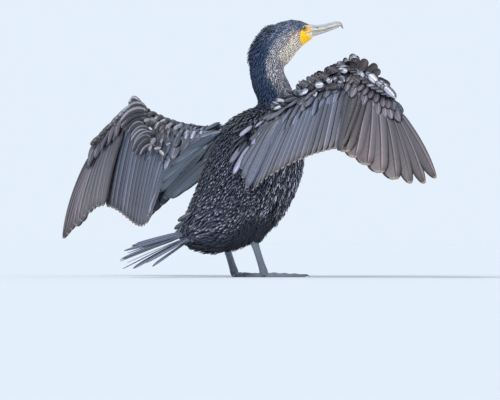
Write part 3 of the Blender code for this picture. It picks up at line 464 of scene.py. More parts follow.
def mix(tree, factor, a, b, kind="MIX"):
    added = tree.nodes.new("ShaderNodeMix")
    added.data_type = "RGBA"
    added.blend_type = kind
    for place, value in ((0, factor), (6, a), (7, b)):
        plug(tree, added.inputs[place], value)
    return added.outputs[2]


def multiply(tree, colour, by):
    return mix(tree, 1.0, colour, (*by, 1) if isinstance(by, tuple) else by, "MULTIPLY")


def object_places(tree):
    return node(tree, "TexCoord").outputs["Object"]


def noise(tree, where, scale, detail, rough=0.5):
    return node(tree, "TexNoise", None, Vector=where, Scale=scale, Detail=detail,
                Roughness=rough).outputs[0]


def dress(tree, shader, relief=(), **inputs):
    """Sets a shader's inputs by name. relief is a bump's height, strength and depth."""
    for key, value in inputs.items():
        plug(tree, shader.inputs[key.replace("_", " ")], value)
    if relief:
        height, strength, depth = relief
        bump = node(tree, "Bump", None, Strength=strength, Distance=depth, Height=height)
        plug(tree, shader.inputs["Normal"], bump.outputs[0])


def tint_colour(tree):
    return node(tree, "VertexColor", {"layer_name": "Tint"}).outputs[0]


def vane_places(tree):
    """The two coordinates of the Vane map: across and along a feather, or round and along."""
    place = node(tree, "UVMap", {"uv_map": "Vane"}).outputs[0]
    return node(tree, "SeparateXYZ", None, Vector=place).outputs[:2]


def stretched(tree, x, y, scale_x, scale_y):
    """A place made of two values, each with its own scale."""
    return node(tree, "CombineXYZ", None, X=maths(tree, "MULTIPLY", x, scale_x),
                Y=maths(tree, "MULTIPLY", y, scale_y), Z=0.0).outputs[0]


def feather_material(name, fineness, slant, edge, rim, gloss, relief):
    """Vane with barbs, a painted lit outer half and painted shaded inner half, a painted sheen line
    beside the dark shaft, a dark border and a thin pale rim, partly worn and partly painted
    highlight.
    """
    material, tree, shader = new_material(name)
    across, along = vane_places(tree)
    off = maths(tree, "ABSOLUTE", maths(tree, "MULTIPLY_ADD", across, 2.0, -1.0))

    def over(colour, share, amount, top):
        return mix(tree, maths(tree, "MULTIPLY", share, amount), colour, top)

    def band(rise, top, high, fall):
        upward, downward = ramp(tree, across, rise, top), ramp(tree, across, fall, high)
        return maths(tree, "MULTIPLY", upward, downward)

    fibre = noise(tree, stretched(tree, across, maths(tree, "MULTIPLY_ADD", off, -slant, along),
                                  1.5, fineness), 1.0, 3.0, 0.6)
    # Painted light and shade across the vane: the inner half, which lies under its neighbour, is
    # painted darker. The outer half is painted lighter beside the shaft and darker again at its
    # edge.
    inner = ramp(tree, across, 0.0, 0.48, 0.55, 0.95)
    outer = ramp(tree, across, 0.55, 1.0, 1.4, 0.6)
    tone = mix(tree, maths(tree, "GREATER_THAN", across, 0.5), inner, outer)
    tone = mix(tree, ramp(tree, fibre, 0.34, 0.66), multiply(tree, tone, (0.55, 0.57, 0.64)), tone)
    colour = multiply(tree, tint_colour(tree), tone)
    border = ramp(tree, along, 0.88, 1.0, 0.0, 0.6)
    border = maths(tree, "MAXIMUM", ramp(tree, off, edge, 0.96), border)
    colour = over(colour, border, 0.90, multiply(tree, colour, (0.13, 0.14, 0.18)))
    # Painted highlight and wear: a thin warm pale rim on edges and tips, partly worn fringe and
    # partly painted highlight.
    worn_rim_and_highlight = maths(tree, "MAXIMUM", ramp(tree, off, 0.93, 0.99), ramp(tree, along, 0.972, 0.99))
    colour = over(colour, worn_rim_and_highlight, rim, (0.46, 0.34, 0.25, 1))
    # Painted sheen: a pale line on the outer vane beside the shaft, 2.4 times as light.
    pale = band(0.50, 0.53, 0.55, 0.62)
    colour = over(colour, pale, 0.55, multiply(tree, colour, (2.4, 2.3, 2.2)))
    shaft = band(0.44, 0.47, 0.50, 0.52)
    colour = over(colour, shaft, 0.85, (0.010, 0.010, 0.014, 1))
    dress(tree, shader, (fibre, 0.6, relief), Base_Color=colour, Specular_IOR_Level=0.5,
          Roughness=ramp(tree, fibre, 0.3, 0.7, gloss + 0.10, gloss - 0.06),
          Sheen_Weight=0.10, Sheen_Tint=(0.40, 0.60, 1.0, 1))
    return material


def hide_material():
    """The skin between and under the small feathers."""
    material, tree, shader = new_material("feathered_hide")
    down = noise(tree, object_places(tree), 900.0, 4.0, 0.7)
    tint = tint_colour(tree)
    colour = mix(tree, ramp(tree, down, 0.35, 0.7), multiply(tree, tint, (0.45, 0.46, 0.52)), tint)
    dress(tree, shader, (down, 0.8, 0.0008), Base_Color=colour, Roughness=0.85)
    return material


def bare_material():
    """Naked yellow skin: fine pebbles, wrinkles and a little blood under it, with a faint painted
    glow.
    """
    material, tree, shader = new_material("bare_face")
    where, tint = object_places(tree), tint_colour(tree)
    pebble = node(tree, "TexVoronoi", {"feature": "F1"}, Vector=where, Scale=1500.0).outputs[0]
    folds = noise(tree, where, 420.0, 4.0, 0.65)
    tone = multiply(tree, tint, (0.80, 0.60, 0.38))
    colour = mix(tree, ramp(tree, folds, 0.30, 0.62), tone, tint)
    # Painted light: a faint emission of the skin's own colour stands in for light shining through
    # it.
    dress(tree, shader, (maths(tree, "MULTIPLY_ADD", pebble, -0.5, folds), 0.6, 0.0004),
          Base_Color=mix(tree, ramp(tree, pebble, 0.75, 0.25, 0.0, 0.25), colour, tone),
          Roughness=ramp(tree, pebble, 0.1, 0.7, 0.42, 0.60), Specular_IOR_Level=0.3,
          Subsurface_Weight=0.15, Subsurface_Radius=(0.0016, 0.0008, 0.0003),
          Emission_Color=colour, Emission_Strength=0.22)
    return material


def horn_material():
    """The bill's horn, with long growth streaks and worn flakes."""
    material, tree, shader = new_material("bill_horn")
    streak = noise(tree, stretched(tree, *vane_places(tree), 24.0, 3.2), 1.6, 6.0, 0.62)
    flake = noise(tree, object_places(tree), 330.0, 3.0, 0.6)
    tint = tint_colour(tree)
    dark = multiply(tree, tint, (0.52, 0.50, 0.50))
    colour = mix(tree, ramp(tree, streak, 0.36, 0.60), dark, tint)
    colour = mix(tree, ramp(tree, flake, 0.58, 0.75, 0.0, 0.35), colour, (0.78, 0.74, 0.68, 1))
    height = maths(tree, "MULTIPLY_ADD", streak, 0.6, maths(tree, "MULTIPLY", flake, 0.4))
    dress(tree, shader, (height, 0.5, 0.0005), Base_Color=colour,
          Roughness=ramp(tree, flake, 0.3, 0.7, 0.42, 0.28), Coat_Weight=0.12, Coat_Roughness=0.25)
    return material


def eye_material():
    """Iris with spokes round a black pupil, under a wet clear coat."""
    material, tree, shader = new_material("wet_eye")
    spoke, out = vane_places(tree)
    fibres = noise(tree, stretched(tree, spoke, out, 46.0, 3.0), 1.0, 3.0, 0.6)
    tint = tint_colour(tree)
    dark = multiply(tree, tint, (0.30, 0.38, 0.45))
    colour = mix(tree, ramp(tree, fibres, 0.36, 0.62), dark, tint)
    colour = mix(tree, ramp(tree, out, 0.46, 0.40), colour, (0.002, 0.002, 0.003, 1))
    colour = mix(tree, ramp(tree, out, 0.88, 0.99), colour, (0.006, 0.010, 0.012, 1))
    dress(tree, shader, Base_Color=colour, Roughness=0.12, Coat_Weight=1.0, Coat_Roughness=0.02)
    return material


def leg_material(name, cell, relief, rough):
    """Scaled skin of a leg, or the finer grain of a web."""
    material, tree, shader = new_material(name)
    place, tint = object_places(tree), tint_colour(tree)
    squat = node(tree, "VectorMath", {"operation": "MULTIPLY"}, _0=place, _1=(1.0, 1.0, 0.75))
    scale = node(tree, "TexVoronoi", {"feature": "DISTANCE_TO_EDGE"}, Vector=squat.outputs[0],
                 Scale=cell).outputs[0]
    dust = noise(tree, place, 160.0, 5.0, 0.6)
    gap = ramp(tree, scale, 0.0, 0.10)
    colour = mix(tree, gap, multiply(tree, tint, (0.35, 0.36, 0.40)), tint)
    colour = mix(tree, ramp(tree, dust, 0.52, 0.75, 0.0, 0.45), colour, (0.26, 0.27, 0.29, 1))
    dress(tree, shader, (gap, 0.7, relief), Base_Color=colour, Specular_IOR_Level=0.6,
          Roughness=ramp(tree, dust, 0.3, 0.7, rough, rough + 0.14))
    return material


def plain_material(name, scale, dark, light, rough):
    """One noisy mix of two colours."""
    material, tree, shader = new_material(name)
    grain = noise(tree, object_places(tree), scale, 3.0)
    dress(tree, shader, Base_Color=mix(tree, grain, dark, light), Roughness=rough)
    return material


RUFFLE_BROWN = (0.070, 0.054, 0.056)
LAVENDER = (0.40, 0.40, 0.52)
TEAL = (0.20, 0.26, 0.34)


# Where things are on the body

def along_spine(points):
    """For points near the body: place along the spine, way to the head, left and back."""
    line = SPINE[:, :3]
    starts, steps = line[:-1], np.diff(line, axis=0)
    spans = (steps ** 2).sum(1)
    near = np.full(len(points), np.inf)
    place = np.zeros(len(points))
    for k in range(len(steps)):
        t = np.clip(((points - starts[k]) @ steps[k]) / spans[k], 0, 1)
        gap = ((points - starts[k] - t[:, None] * steps[k]) ** 2).sum(1)
        better = gap < near
        near[better] = gap[better]
        place[better] = k + t[better]
    tangents = unit(np.gradient(line, axis=0))
    ahead = unit(sample_rows(tangents, place))
    yaw = smoothstep(11, 17, place) * HEAD_YAW
    left = np.stack([np.cos(yaw), -np.sin(yaw), np.zeros(len(points))], 1)
    left = unit(left - ahead * (left * ahead).sum(1, keepdims=True))
    back = np.cross(ahead, left)
    radial = unit(points - sample_rows(line, place))
    return place, ahead, (radial * left).sum(1), (radial * back).sum(1)


def sample_rows(rows, place):
    """Rows of a table read between its lines."""
    low = np.clip(np.floor(place).astype(int), 0, len(rows) - 2)
    share = (place - low)[:, None]
    return rows[low] * (1 - share) + rows[low + 1] * share


def head_places(points):
    """Forward of the bill's base and left of the head's middle plane."""
    offset = points - BILL_BASE
    return offset @ HEAD_FORWARD, offset @ HEAD_LEFT


def bare_share(points):
    """1 on the naked face, 0 on feathers."""
    forward, _ = head_places(points)
    edge = np.interp(points[:, 2], BARE_EDGE[:, 0], BARE_EDGE[:, 1])
    edge = edge + 0.0006 * ripple(points, 2200, 3)
    share = smoothstep(-0.0004, 0.0004, forward - edge)
    share *= smoothstep(0.0003, -0.0003, points[:, 2] - BARE_TOP)
    return share * (points[:, 2] > FACE_FLOOR)


def thigh_share(points):
    """1 on the thighs, 0 on the rest of the body."""
    mirrored = np.abs(points[:, :1]) * (1, 0, 0) + points * (0, 1, 1)
    axis = HEEL - THIGH_TOP
    t = np.clip(((mirrored - THIGH_TOP) @ axis) / (axis @ axis), 0, 1)
    gap = np.linalg.norm(mirrored - THIGH_TOP - t[:, None] * axis, axis=1)
    return smoothstep(0.135, 0.105, points[:, 2]) * smoothstep(0.062, 0.040, gap)


def mantle_share(points):
    """1 between the shoulders, where the feathers are bigger and edged with bronze."""
    place, _, _, back = along_spine(points)
    return smoothstep(5.6, 6.8, place) * smoothstep(9.6, 8.8, place) * smoothstep(0.15, 0.55, back)


def wing_share(points):
    """1 on a wing's arm and hand, 0 on the body."""
    return smoothstep(0.066, 0.092, np.abs(points[:, 0])) * (points[:, 2] > 0.20)


# The wings

class Wing:
    """Where the bones, edges and surfaces of one wing are."""

    def __init__(self, pose):
        self.pose = pose
        self.side = pose["side"]
        for point in ("shoulder", "elbow", "wrist", "finger", "bow"):
            setattr(self, point, np.array(pose[point]))
        self.span = unit(self.wrist - self.shoulder)
        self.main_face = self.face(np.array([0.7]))[0]

    def bone(self, u):
        """The bone line from shoulder to wrist, with a rounded elbow."""
        u = np.asarray(u)[..., None]
        e = ELBOW_SHARE
        upper = lerp(self.shoulder, self.elbow, u / e)
        lower = lerp(self.elbow, self.wrist, (u - e) / (1 - e))
        rounding = np.maximum(0, 1 - np.abs(u - e) / 0.18) ** 2 * 0.14
        return lerp(np.where(u < e, upper, lower), (self.shoulder + self.wrist) / 2, rounding)

    def edge(self, u):
        u = np.asarray(u)[..., None]
        a, b, c = (np.array(p) for p in self.pose["edge"])
        return a * (1 - u) ** 2 + b * (2 * u * (1 - u)) + c * u ** 2

    def face(self, u):
        """The way the arm's upper surface looks."""
        middle = self.bone([ELBOW_SHARE]) - self.edge([ELBOW_SHARE])
        face = unit(np.cross(middle, self.span) * -self.side)
        return np.repeat(face, len(u), axis=0)

    def half_thick(self, u):
        return lerp(ARM_THICK[0], ARM_THICK[1], np.minimum(1, np.asarray(u) * 1.4))

    def surface(self, u, v, over=1):
        """A point of the arm's surface, upper or lower: v is 0 at the edge, 1 at the bones."""
        chord = lerp(self.edge(u), self.bone(u), v)
        height = self.half_thick(u) * math.sqrt(max(0.0, 1 - (2 * v - 1.1) ** 2))
        return chord + self.face(u) * (height * over)[:, None]

    def core_rings(self):
        """Rings of the arm and of the hand, thinned by the coat's depth."""
        rings = []
        for u in ARM_STATIONS:
            inside = np.array([max(u, 0.0)])
            front, back = self.edge(inside)[0], self.bone(inside)[0]
            face = self.face(inside)[0]
            thick = float(self.half_thick(inside)[0])
            half = np.linalg.norm(back - front) / 2 + thick * 0.8
            centre = (front + back) / 2
            if u < 0:
                centre = centre - self.span * 0.035
            if u == 1.0:
                centre, half, thick = self.wrist, *WRIST_HALF
            rings.append(ring(centre, unit(back - front), face, half - 0.003, thick - 0.002, 16))
        back = unit(self.bone([1.0])[0] - self.edge([1.0])[0])
        for t, half, thick in HAND_SECTIONS[1:]:
            rings.append(ring(lerp(self.wrist, self.finger, t), back, self.main_face,
                              half - 0.001, thick - 0.001, 16))
        return rings

    def flight_fans(self):
        """The long feathers of the upper arm, the forearm and the hand."""
        face, e = self.main_face, ELBOW_SHARE
        share = np.linspace(0, 1, PRIMARIES) ** 0.9
        roots = lerp(self.wrist, self.finger, (0.05 + 0.93 * share)[:, None]) - face * 0.001
        primaries = keyed_fan(roots, self.pose["primaries"], 0.05, face, self.bow)
        places = e + (1 - e) * (0.02 + 0.93 * np.linspace(0, 1, SECONDARIES))
        secondaries = keyed_fan(self.bone(places) + face * 0.001, self.pose["secondaries"], 0.05,
                                face, self.bow * 0.4)
        places = e * (0.55 + 0.40 * np.linspace(0, 1, TERTIALS))
        tertials = keyed_fan(self.bone(places) + face * 0.006, self.pose["tertials"], 0.03,
                             unit(NEAR + face * 0.4), self.bow * 0, 1.0)
        return tertials, secondaries, primaries

    def way_back(self, u, fans):
        """The way the arm's long feathers point at u."""
        tertials, secondaries, _ = fans
        e = ELBOW_SHARE
        before = np.clip(u / e * (TERTIALS - 1), 0, TERTIALS - 1.001)
        after = np.clip((u - e) / (1 - e) * (SECONDARIES - 1), 0, SECONDARIES - 1.001)
        return unit(np.where((u < e)[:, None], sample_rows(unit(tertials.reach), before),
                             sample_rows(unit(secondaries.reach), after)))

    def covert_fan(self, row, fans, over, seed):
        """A row of short feathers across the arm. over is 1 above it and -1 below."""
        count, place, length, _, low, high, start, stop = row
        chance = np.random.default_rng(seed)
        u = np.linspace(start, min(stop, self.pose["stop"]), count)
        outer = smoothstep(0.50, 0.80, u)
        ruffle = lerp(*self.pose["ruffle"], outer)
        lift = low + ruffle * high * lerp(0.8, 1.15, chance.random(count))
        lift = lift + chance.normal(0, 3, count)
        ways, backs = tilted(self.way_back(u, fans), self.main_face * over, lift)
        loose = float(high > 0.5)
        sweep = self.pose["sweep"] * loose
        ways = unit(ways + self.span * chance.normal(0, 0.06 + 0.18 * loose, count)[:, None]
                    + self.span * (sweep * outer * smoothstep(1.0, 0.80, u))[:, None])
        roots = self.surface(u, place, over) - self.main_face * over * 0.002 - ways * 0.004
        lengths = length * lerp(0.92, 1.08, chance.random(count))
        if loose:
            lengths = lengths * lerp(*self.pose["grow"], outer)
        return Fan(roots, ways * lengths[:, None], 0.10, backs, UP * 0.18 * sweep, loose)

    def hand_fan(self, row, fans, over, seed):
        """A row of short feathers over the roots of the hand's long ones."""
        count, place, length, _, low, high = row
        chance = np.random.default_rng(seed)
        at = np.linspace(0, 1, count)
        lift = low + self.pose["ruffle"][1] * high * (over > 0) + chance.normal(0, 2.5, count)
        ways = sample_rows(unit(fans[2].reach), at * (PRIMARIES - 1.001))
        ways, backs = tilted(ways, self.main_face * over, lift)
        front = unit(self.edge([1.0])[0] - self.bone([1.0])[0])
        roots = lerp(self.wrist, self.finger, (0.06 + 0.90 * at)[:, None]) + front * place
        roots += self.main_face * over * lerp(0.0060, 0.0035, at)[:, None] - ways * 0.004
        lengths = length * (1 + 0.3 * at) * lerp(0.95, 1.05, chance.random(count))
        return Fan(roots, ways * lengths[:, None], 0.06, backs, self.bow, float(high > 1.0))

    def alula_fan(self):
        """The stiff feathers on the thumb."""
        front = unit(self.edge([1.0])[0] - self.bone([1.0])[0])
        share = np.linspace(0.02, 0.55, len(ALULA))[:, None]
        roots = lerp(self.wrist, self.finger, share) + front * 0.012 + self.main_face * 0.008
        way = unit(self.finger - self.wrist + front * 0.004)
        return Fan(roots, way * np.array(ALULA)[:, None], 0.05, self.main_face, front * 0, 1.0)


def keyed_fan(roots, keys, droop, dorsal, bow, flat=0.0):
    """A fan whose reach is read from a few key feathers, on one smooth curve."""
    places = [key[0] for key in keys]
    reach = np.array([unit(np.array(key[1])) * key[2] for key in keys])
    curves = np.polyfit(places, reach, min(3, len(keys) - 1))
    numbers = np.arange(len(roots))
    reach = np.stack([np.polyval(curve, numbers) for curve in curves.T], 1)
    return Fan(roots, reach, droop, dorsal, bow, flat)


def tilted(ways, face, degrees):
    """Directions raised from the wing's surface by an angle, and the upper sides they have."""
    rise = (ways @ face)[:, None]
    flat = unit(ways - rise * face)
    turn = np.radians(degrees)[:, None] + np.arcsin(np.clip(rise, -1, 1))
    return flat * np.cos(turn) + face * np.sin(turn), face * np.cos(turn) - flat * np.sin(turn)


class Fan:
    """A row of feathers that overlap like shingles on one smooth surface.

    With flat at 1 each vane lies square to its own upper side, whatever its neighbours do."""

    def __init__(self, roots, reach, droop, dorsal, bow, flat=0.0):
        self.flat = flat
        self.roots, self.reach, self.droop, self.bow = roots, reach, droop, bow
        self.dorsal = np.broadcast_to(dorsal, roots.shape)[:, None]

    def shafts(self, steps):
        """Points of every shaft, which bend down and in towards their tips."""
        s = np.asarray(steps)[None, :, None]
        length = np.linalg.norm(self.reach, axis=1)[:, None, None]
        bent = self.bow * (length * 4 * s * (1 - s)) - self.dorsal * (self.droop * length * s * s)
        return self.roots[:, None] + self.reach[:, None] * s + bent

    def frames(self, steps, lift):
        """Shaft points, the leaning way out and the upper face of every section."""
        steps = np.asarray(steps)
        here = self.shafts(steps)
        along = unit(self.shafts(steps + 0.01) - self.shafts(steps - 0.01))
        out = np.gradient(self.shafts(np.maximum(steps, 0.3)), axis=0)
        out = out - along * (out * along).sum(2, keepdims=True)
        gap = np.linalg.norm(out, axis=2, keepdims=True)
        out = unit(out)
        square = unit(np.cross(self.dorsal, along))
        square = square * np.where((square * out).sum(2, keepdims=True) < 0, -1, 1)
        out = unit(lerp(out, square, self.flat))
        face = unit(np.cross(along, out))
        face = face * np.where((face * self.dorsal).sum(2, keepdims=True) < 0, -1, 1)
        lean = unit(out + face * np.minimum(0.35, lift / np.maximum(gap, 0.002)))
        square = unit(np.cross(along, lean))
        square = square * np.where((square * face).sum(2, keepdims=True) < 0, -1, 1)
        return here, lean, square


# Feather meshes

FINE_PROFILE = ((-1, 0.0, 0.0), (-0.72, 0.55, 0.25), (-0.38, 0.88, 0.4), (-0.07, 1.0, 0.5),
                (0, 1.0, 1.7), (0.07, 1.0, 0.5), (0.38, 0.88, 0.4), (0.72, 0.55, 0.25),
                (1, 0.0, 0.0), (0.72, 0.55, -0.25), (0.38, 0.88, -0.4), (0.0, 1.0, -1.2),
                (-0.38, 0.88, -0.4), (-0.72, 0.55, -0.25))
COVERT_PROFILE = ((-1, 0.0, 0.0), (-0.5, 0.75, 0.5), (0, 1.0, 0.9), (0.5, 0.75, 0.5), (1, 0.0, 0.0),
                  (0.5, 0.75, -0.5), (0, 1.0, -0.9), (-0.5, 0.75, -0.5))
TUFT_PROFILE = ((-1, 0.0, 0.0), (0, 1.0, 0.6), (1, 0.0, 0.0), (0, 1.0, -0.6))
EVEN = (0.5, 0.5)                 # a vane as broad outside its shaft as inside
NARROWING = (0.5, 0.4)            # the same, but less so towards the wing's tip
COVERT = {"outer": EVEN, "lift": 0.0010, "thick": 0.0003, "profile": COVERT_PROFILE}


def tube_quads(sections, count):
    """Faces of a closed tube whose two ends are strips of quads."""
    k = np.arange(count)
    wall = np.stack([k, (k + 1) % count, count + (k + 1) % count, count + k], 1)
    pair = np.arange(count // 2 - 1)
    cap = np.stack([pair, pair + 1, count - 2 - pair, count - 1 - pair], 1)
    walls = [s * count + wall for s in range(sections - 1)]
    return np.concatenate(walls + [cap[:, ::-1], cap + (sections - 1) * count])


def feather_arrays(centre, out, face, half, profile, camber, thick):
    """Points and quads of many closed feathers. half is inner and outer half width by section."""
    count, sections = centre.shape[:2]
    rows = np.array(profile)
    a = rows[:, 0]
    wide = np.where(a[None, None, :] < 0, half[..., :1], half[..., 1:]) * a
    mean = half.mean(2)[..., None]
    high = camber * mean * rows[:, 1] + thick * rows[:, 2]
    points = centre[:, :, None] + out[:, :, None] * wide[..., None]
    points = points + face[:, :, None] * high[..., None]
    ring_size = len(rows)
    one = tube_quads(sections, ring_size)
    quads = (np.arange(count) * sections * ring_size)[:, None, None] + one
    return points.reshape(-1, 3), quads.reshape(-1, 4)


def feather_piece(name, batches, material, replaced=()):
    """One mesh from batches: points, quads, Vane places, unwrap places and colours of each."""
    firsts = np.cumsum([0] + [len(batch[0]) for batch in batches])
    quads = np.concatenate([batch[1] + first for batch, first in zip(batches, firsts)])
    points, vane, bake, tint = (np.concatenate([batch[k] for batch in batches])
                                for k in (0, 2, 3, 4))
    mesh = quads_mesh(name, points, quads, (("OFBake", bake), ("Vane", vane)), tint)
    fix_normals(mesh)
    return add_piece(name, mesh, material, replaced)


def fix_normals(mesh):
    """Turns all faces outward by the sign of the whole mesh's volume."""
    work = bmesh.new()
    work.from_mesh(mesh)
    if work.calc_volume(signed=True) < 0:
        bmesh.ops.reverse_faces(work, faces=work.faces)
        work.to_mesh(mesh)
    work.free()


def feather_batch(centre, out, face, half, profile, camber, thick, steps, tint, home, underside_sheen=0.0):
    """Points, faces, maps and colours of like feathers. tint is by feather and section.

    The last argument is how far the undersides turn pale near their roots, partly their own
    paleness and partly painted sheen."""
    handed = np.einsum("ijk,ijk->ij", np.cross(out, face), np.gradient(centre, axis=1))
    flip = -1 if np.median(handed) < 0 else 1
    half = half[..., ::flip]
    points, quads = feather_arrays(centre, out * flip, face, half, profile, camber, thick)
    count, sections = centre.shape[:2]
    rows = np.array(profile)
    steps = np.asarray(steps)
    vane = np.zeros((count, sections, len(rows), 2))
    vane[..., 0] = (rows[:, 0] * flip + 1) / 2
    vane[..., 1] = steps[None, :, None]
    under = np.where(rows[:, 2] < 0, 1.0, 0.0)[None, None, :, None]
    colours = np.repeat(tint[:, :, None], len(rows), axis=2)
    # Painted shade and sheen on the undersides: 0.85 as bright as the upper sides, and near the
    # roots of most feathers turned towards 1.4 times the pale silver.
    shine = underside_sheen * (1 - smoothstep(0.86, 0.97, steps))[None, :, None, None]
    some = smoothstep(0.15, 0.45, np.random.default_rng(count).random(count))
    shine = shine * some[:, None, None, None]
    below = colours * 0.85 * (1 - shine) + SILVER_SHEEN * 1.4 * shine
    colours = colours * (1 - under) + below * under
    bake = home[:, None, None] + (vane - 0.5) * BAKE_PATCH
    return points, quads, vane.reshape(-1, 2), bake.reshape(-1, 2), colours.reshape(-1, 3)


def vane_share(s, root=0.22, full=0.30, taper=0.72, blunt=2.0):
    """How wide a feather is at a share of its length, as a share of its full width."""
    s = np.asarray(s)
    base = root + (1 - root) * np.sin(np.clip(s / full, 0, 1) * math.pi / 2)
    tip = np.sqrt(np.maximum(0.012, 1 - np.clip((s - taper) / (1.005 - taper), 0, 1) ** blunt))
    return base * tip


def tip_steps(count, crowd=1.7):
    """Shares of a feather's length, crowded towards the tip."""
    k = np.linspace(0, 1, count)
    return 1 - (1 - k) ** crowd


def fan_batch(fan, width, steps, tints, outer=(0.42, 0.42), lift=0.0011, camber=0.10, thick=0.00035,
              profile=FINE_PROFILE, taper=0.72, blunt=2.0, wave=0.0, seed=1, underside_sheen=0.0, fade=2):
    """A fan's feathers. tints are colours at root and tip for every feather."""
    chance = np.random.default_rng(seed)
    count = len(fan.roots)
    centre, out, face = fan.frames(steps, lift)
    turn = chance.normal(0, wave, count)[:, None, None]
    out = unit(out + face * turn)
    face = unit(face - out * turn)
    outside = lerp(outer[0], outer[1], np.linspace(0, 1, count) ** 2)[:, None]
    wide = (width * lerp(0.95, 1.05, chance.random(count)))[:, None]
    wide = wide * vane_share(steps, taper=taper, blunt=blunt)
    half = np.stack([wide * (1 - outside), wide * outside], 2)
    tint = lerp(tints[0][:, None], tints[1][:, None], np.asarray(steps)[None, :, None] ** fade)
    return feather_batch(centre, out, face, half, profile, camber, thick, steps, tint,
                         home_of(fan.roots), underside_sheen)


# The skin

def ring(centre, side, up, half_side, half_up, count):
    angle = np.arange(count) * 2 * math.pi / count
    across, rise = np.cos(angle) * half_side, np.sin(angle) * half_up
    return centre + side * across[:, None] + up * rise[:, None]


def loft_into(work, rings):
    """Adds a closed loft to a bmesh."""
    layers = [[work.verts.new(p) for p in r] for r in rings]
    count = len(layers[0])
    faces = [work.faces.new(layers[0][::-1]), work.faces.new(layers[-1])]
    for a, b in zip(layers, layers[1:]):
        for k in range(count):
            faces.append(work.faces.new((a[k], a[(k + 1) % count], b[(k + 1) % count], b[k])))
    bmesh.ops.recalc_face_normals(work, faces=faces)


def flesh_object():
    """The bodies of flesh and the wings' cores, grown together into one closed skin."""
    work = bmesh.new()
    for name in FLESH_NODES:
        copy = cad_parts[name].data.copy()
        places, normals = mesh_points(copy)
        copy.vertices.foreach_set("co", (places + normals * FLESH_OVERLAP).ravel())
        work.from_mesh(copy)
        bpy.data.meshes.remove(copy)
    bmesh.ops.remove_doubles(work, verts=work.verts, dist=0.00001)
    for wing in made["wings"].values():
        loft_into(work, wing.core_rings())
    mesh = bpy.data.meshes.new("skin")
    work.to_mesh(mesh)
    work.free()
    skin = link(bpy.data.objects.new("skin", mesh))
    remesh = skin.modifiers.new("grow", "REMESH")
    remesh.mode = "VOXEL"
    remesh.voxel_size = bpy.context.scene.cormorant_sizes.voxel
    relax(skin, 6)
    return skin


def relax(target, rounds):
    """Smooths an object and turns its modifiers into plain mesh."""
    smooth = target.modifiers.new("relax", "SMOOTH")
    smooth.factor, smooth.iterations = 0.5, rounds
    graph = bpy.context.evaluated_depsgraph_get()
    mesh = bpy.data.meshes.new_from_object(target.evaluated_get(graph))
    target.modifiers.clear()
    old = target.data
    target.data = mesh
    bpy.data.meshes.remove(old)


def values(elements, key, width=1, kind=float):
    """One attribute of a mesh's elements, as an array."""
    found = np.zeros(len(elements) * width, kind)
    elements.foreach_get(key, found)
    return found.reshape(-1, width) if width > 1 else found


def mesh_points(mesh):
    return values(mesh.vertices, "co", 3), values(mesh.vertex_normals, "vector", 3)


def refine_face(mesh):
    """Finer mesh on the front of the head, and finest round the eyes."""
    for reach, eyes_only in FACE_ROUNDS:
        work = bmesh.new()
        work.from_mesh(mesh)
        chosen = set()
        for face in work.faces:
            centre = np.array(face.calc_center_median())
            if centre[2] < FACE_FLOOR:
                continue
            if eyes_only:
                near = min(np.linalg.norm(centre - eye) for eye in EYES.values()) < reach
            else:
                near = -reach < (centre - BILL_BASE) @ HEAD_FORWARD
            if near:
                chosen.update(face.edges)
        bmesh.ops.subdivide_edges(work, edges=list(chosen), cuts=1, use_grid_fill=True, smooth=0.0)
        work.to_mesh(mesh)
        work.free()


def shape_face(points, normals):
    """Lids round the eyes, the gape's fold and the throat's wrinkles."""
    points = points.copy()
    for side, eye in EYES.items():
        out = HEAD_LEFT * (1 if side == "left" else -1)
        offset = points - eye
        depth = offset @ out
        flat = offset - depth[:, None] * out
        radius = np.linalg.norm(flat, axis=1)
        mine = (radius < 0.0105) & (depth > -0.012) & (points[:, 2] > 0.47)
        dome = np.sqrt(np.maximum(EYE_RADIUS ** 2 - np.minimum(radius, EYE_RADIUS) ** 2, 0))
        lid = dome + 0.0006
        inside = smoothstep(LID_OPENING, LID_OPENING - 0.0007, radius)
        rim = smoothstep(0.0095, LID_OPENING + 0.0006, radius)
        ridge = 0.0005 * np.exp(-((radius - LID_OPENING - 0.0006) / 0.0006) ** 2)
        target = lerp(depth, np.maximum(lid, depth * 0.3 + lid * 0.7), rim) + ridge
        target = lerp(target, dome - 0.0022, inside)
        moved = np.where(mine, target - depth, 0.0)
        points += moved[:, None] * out
    forward, left = head_places(points)
    line = np.interp(forward, (-0.0165, 0.0), (0.4868, 0.4914))
    on_line = np.exp(-((points[:, 2] - line) / 0.0005) ** 2) * smoothstep(-0.0185, -0.015, forward)
    on_line *= (points[:, 2] > 0.46) * (np.abs(left) > 0.004)
    points -= normals * (0.0010 * on_line)[:, None]
    wrinkle = np.sin(forward * 5200 + 1.3 * ripple(points, 700, 5)) * bare_share(points)
    wrinkle *= smoothstep(0.489, 0.482, points[:, 2])
    points += normals * (0.00014 * wrinkle)[:, None]
    return points, on_line


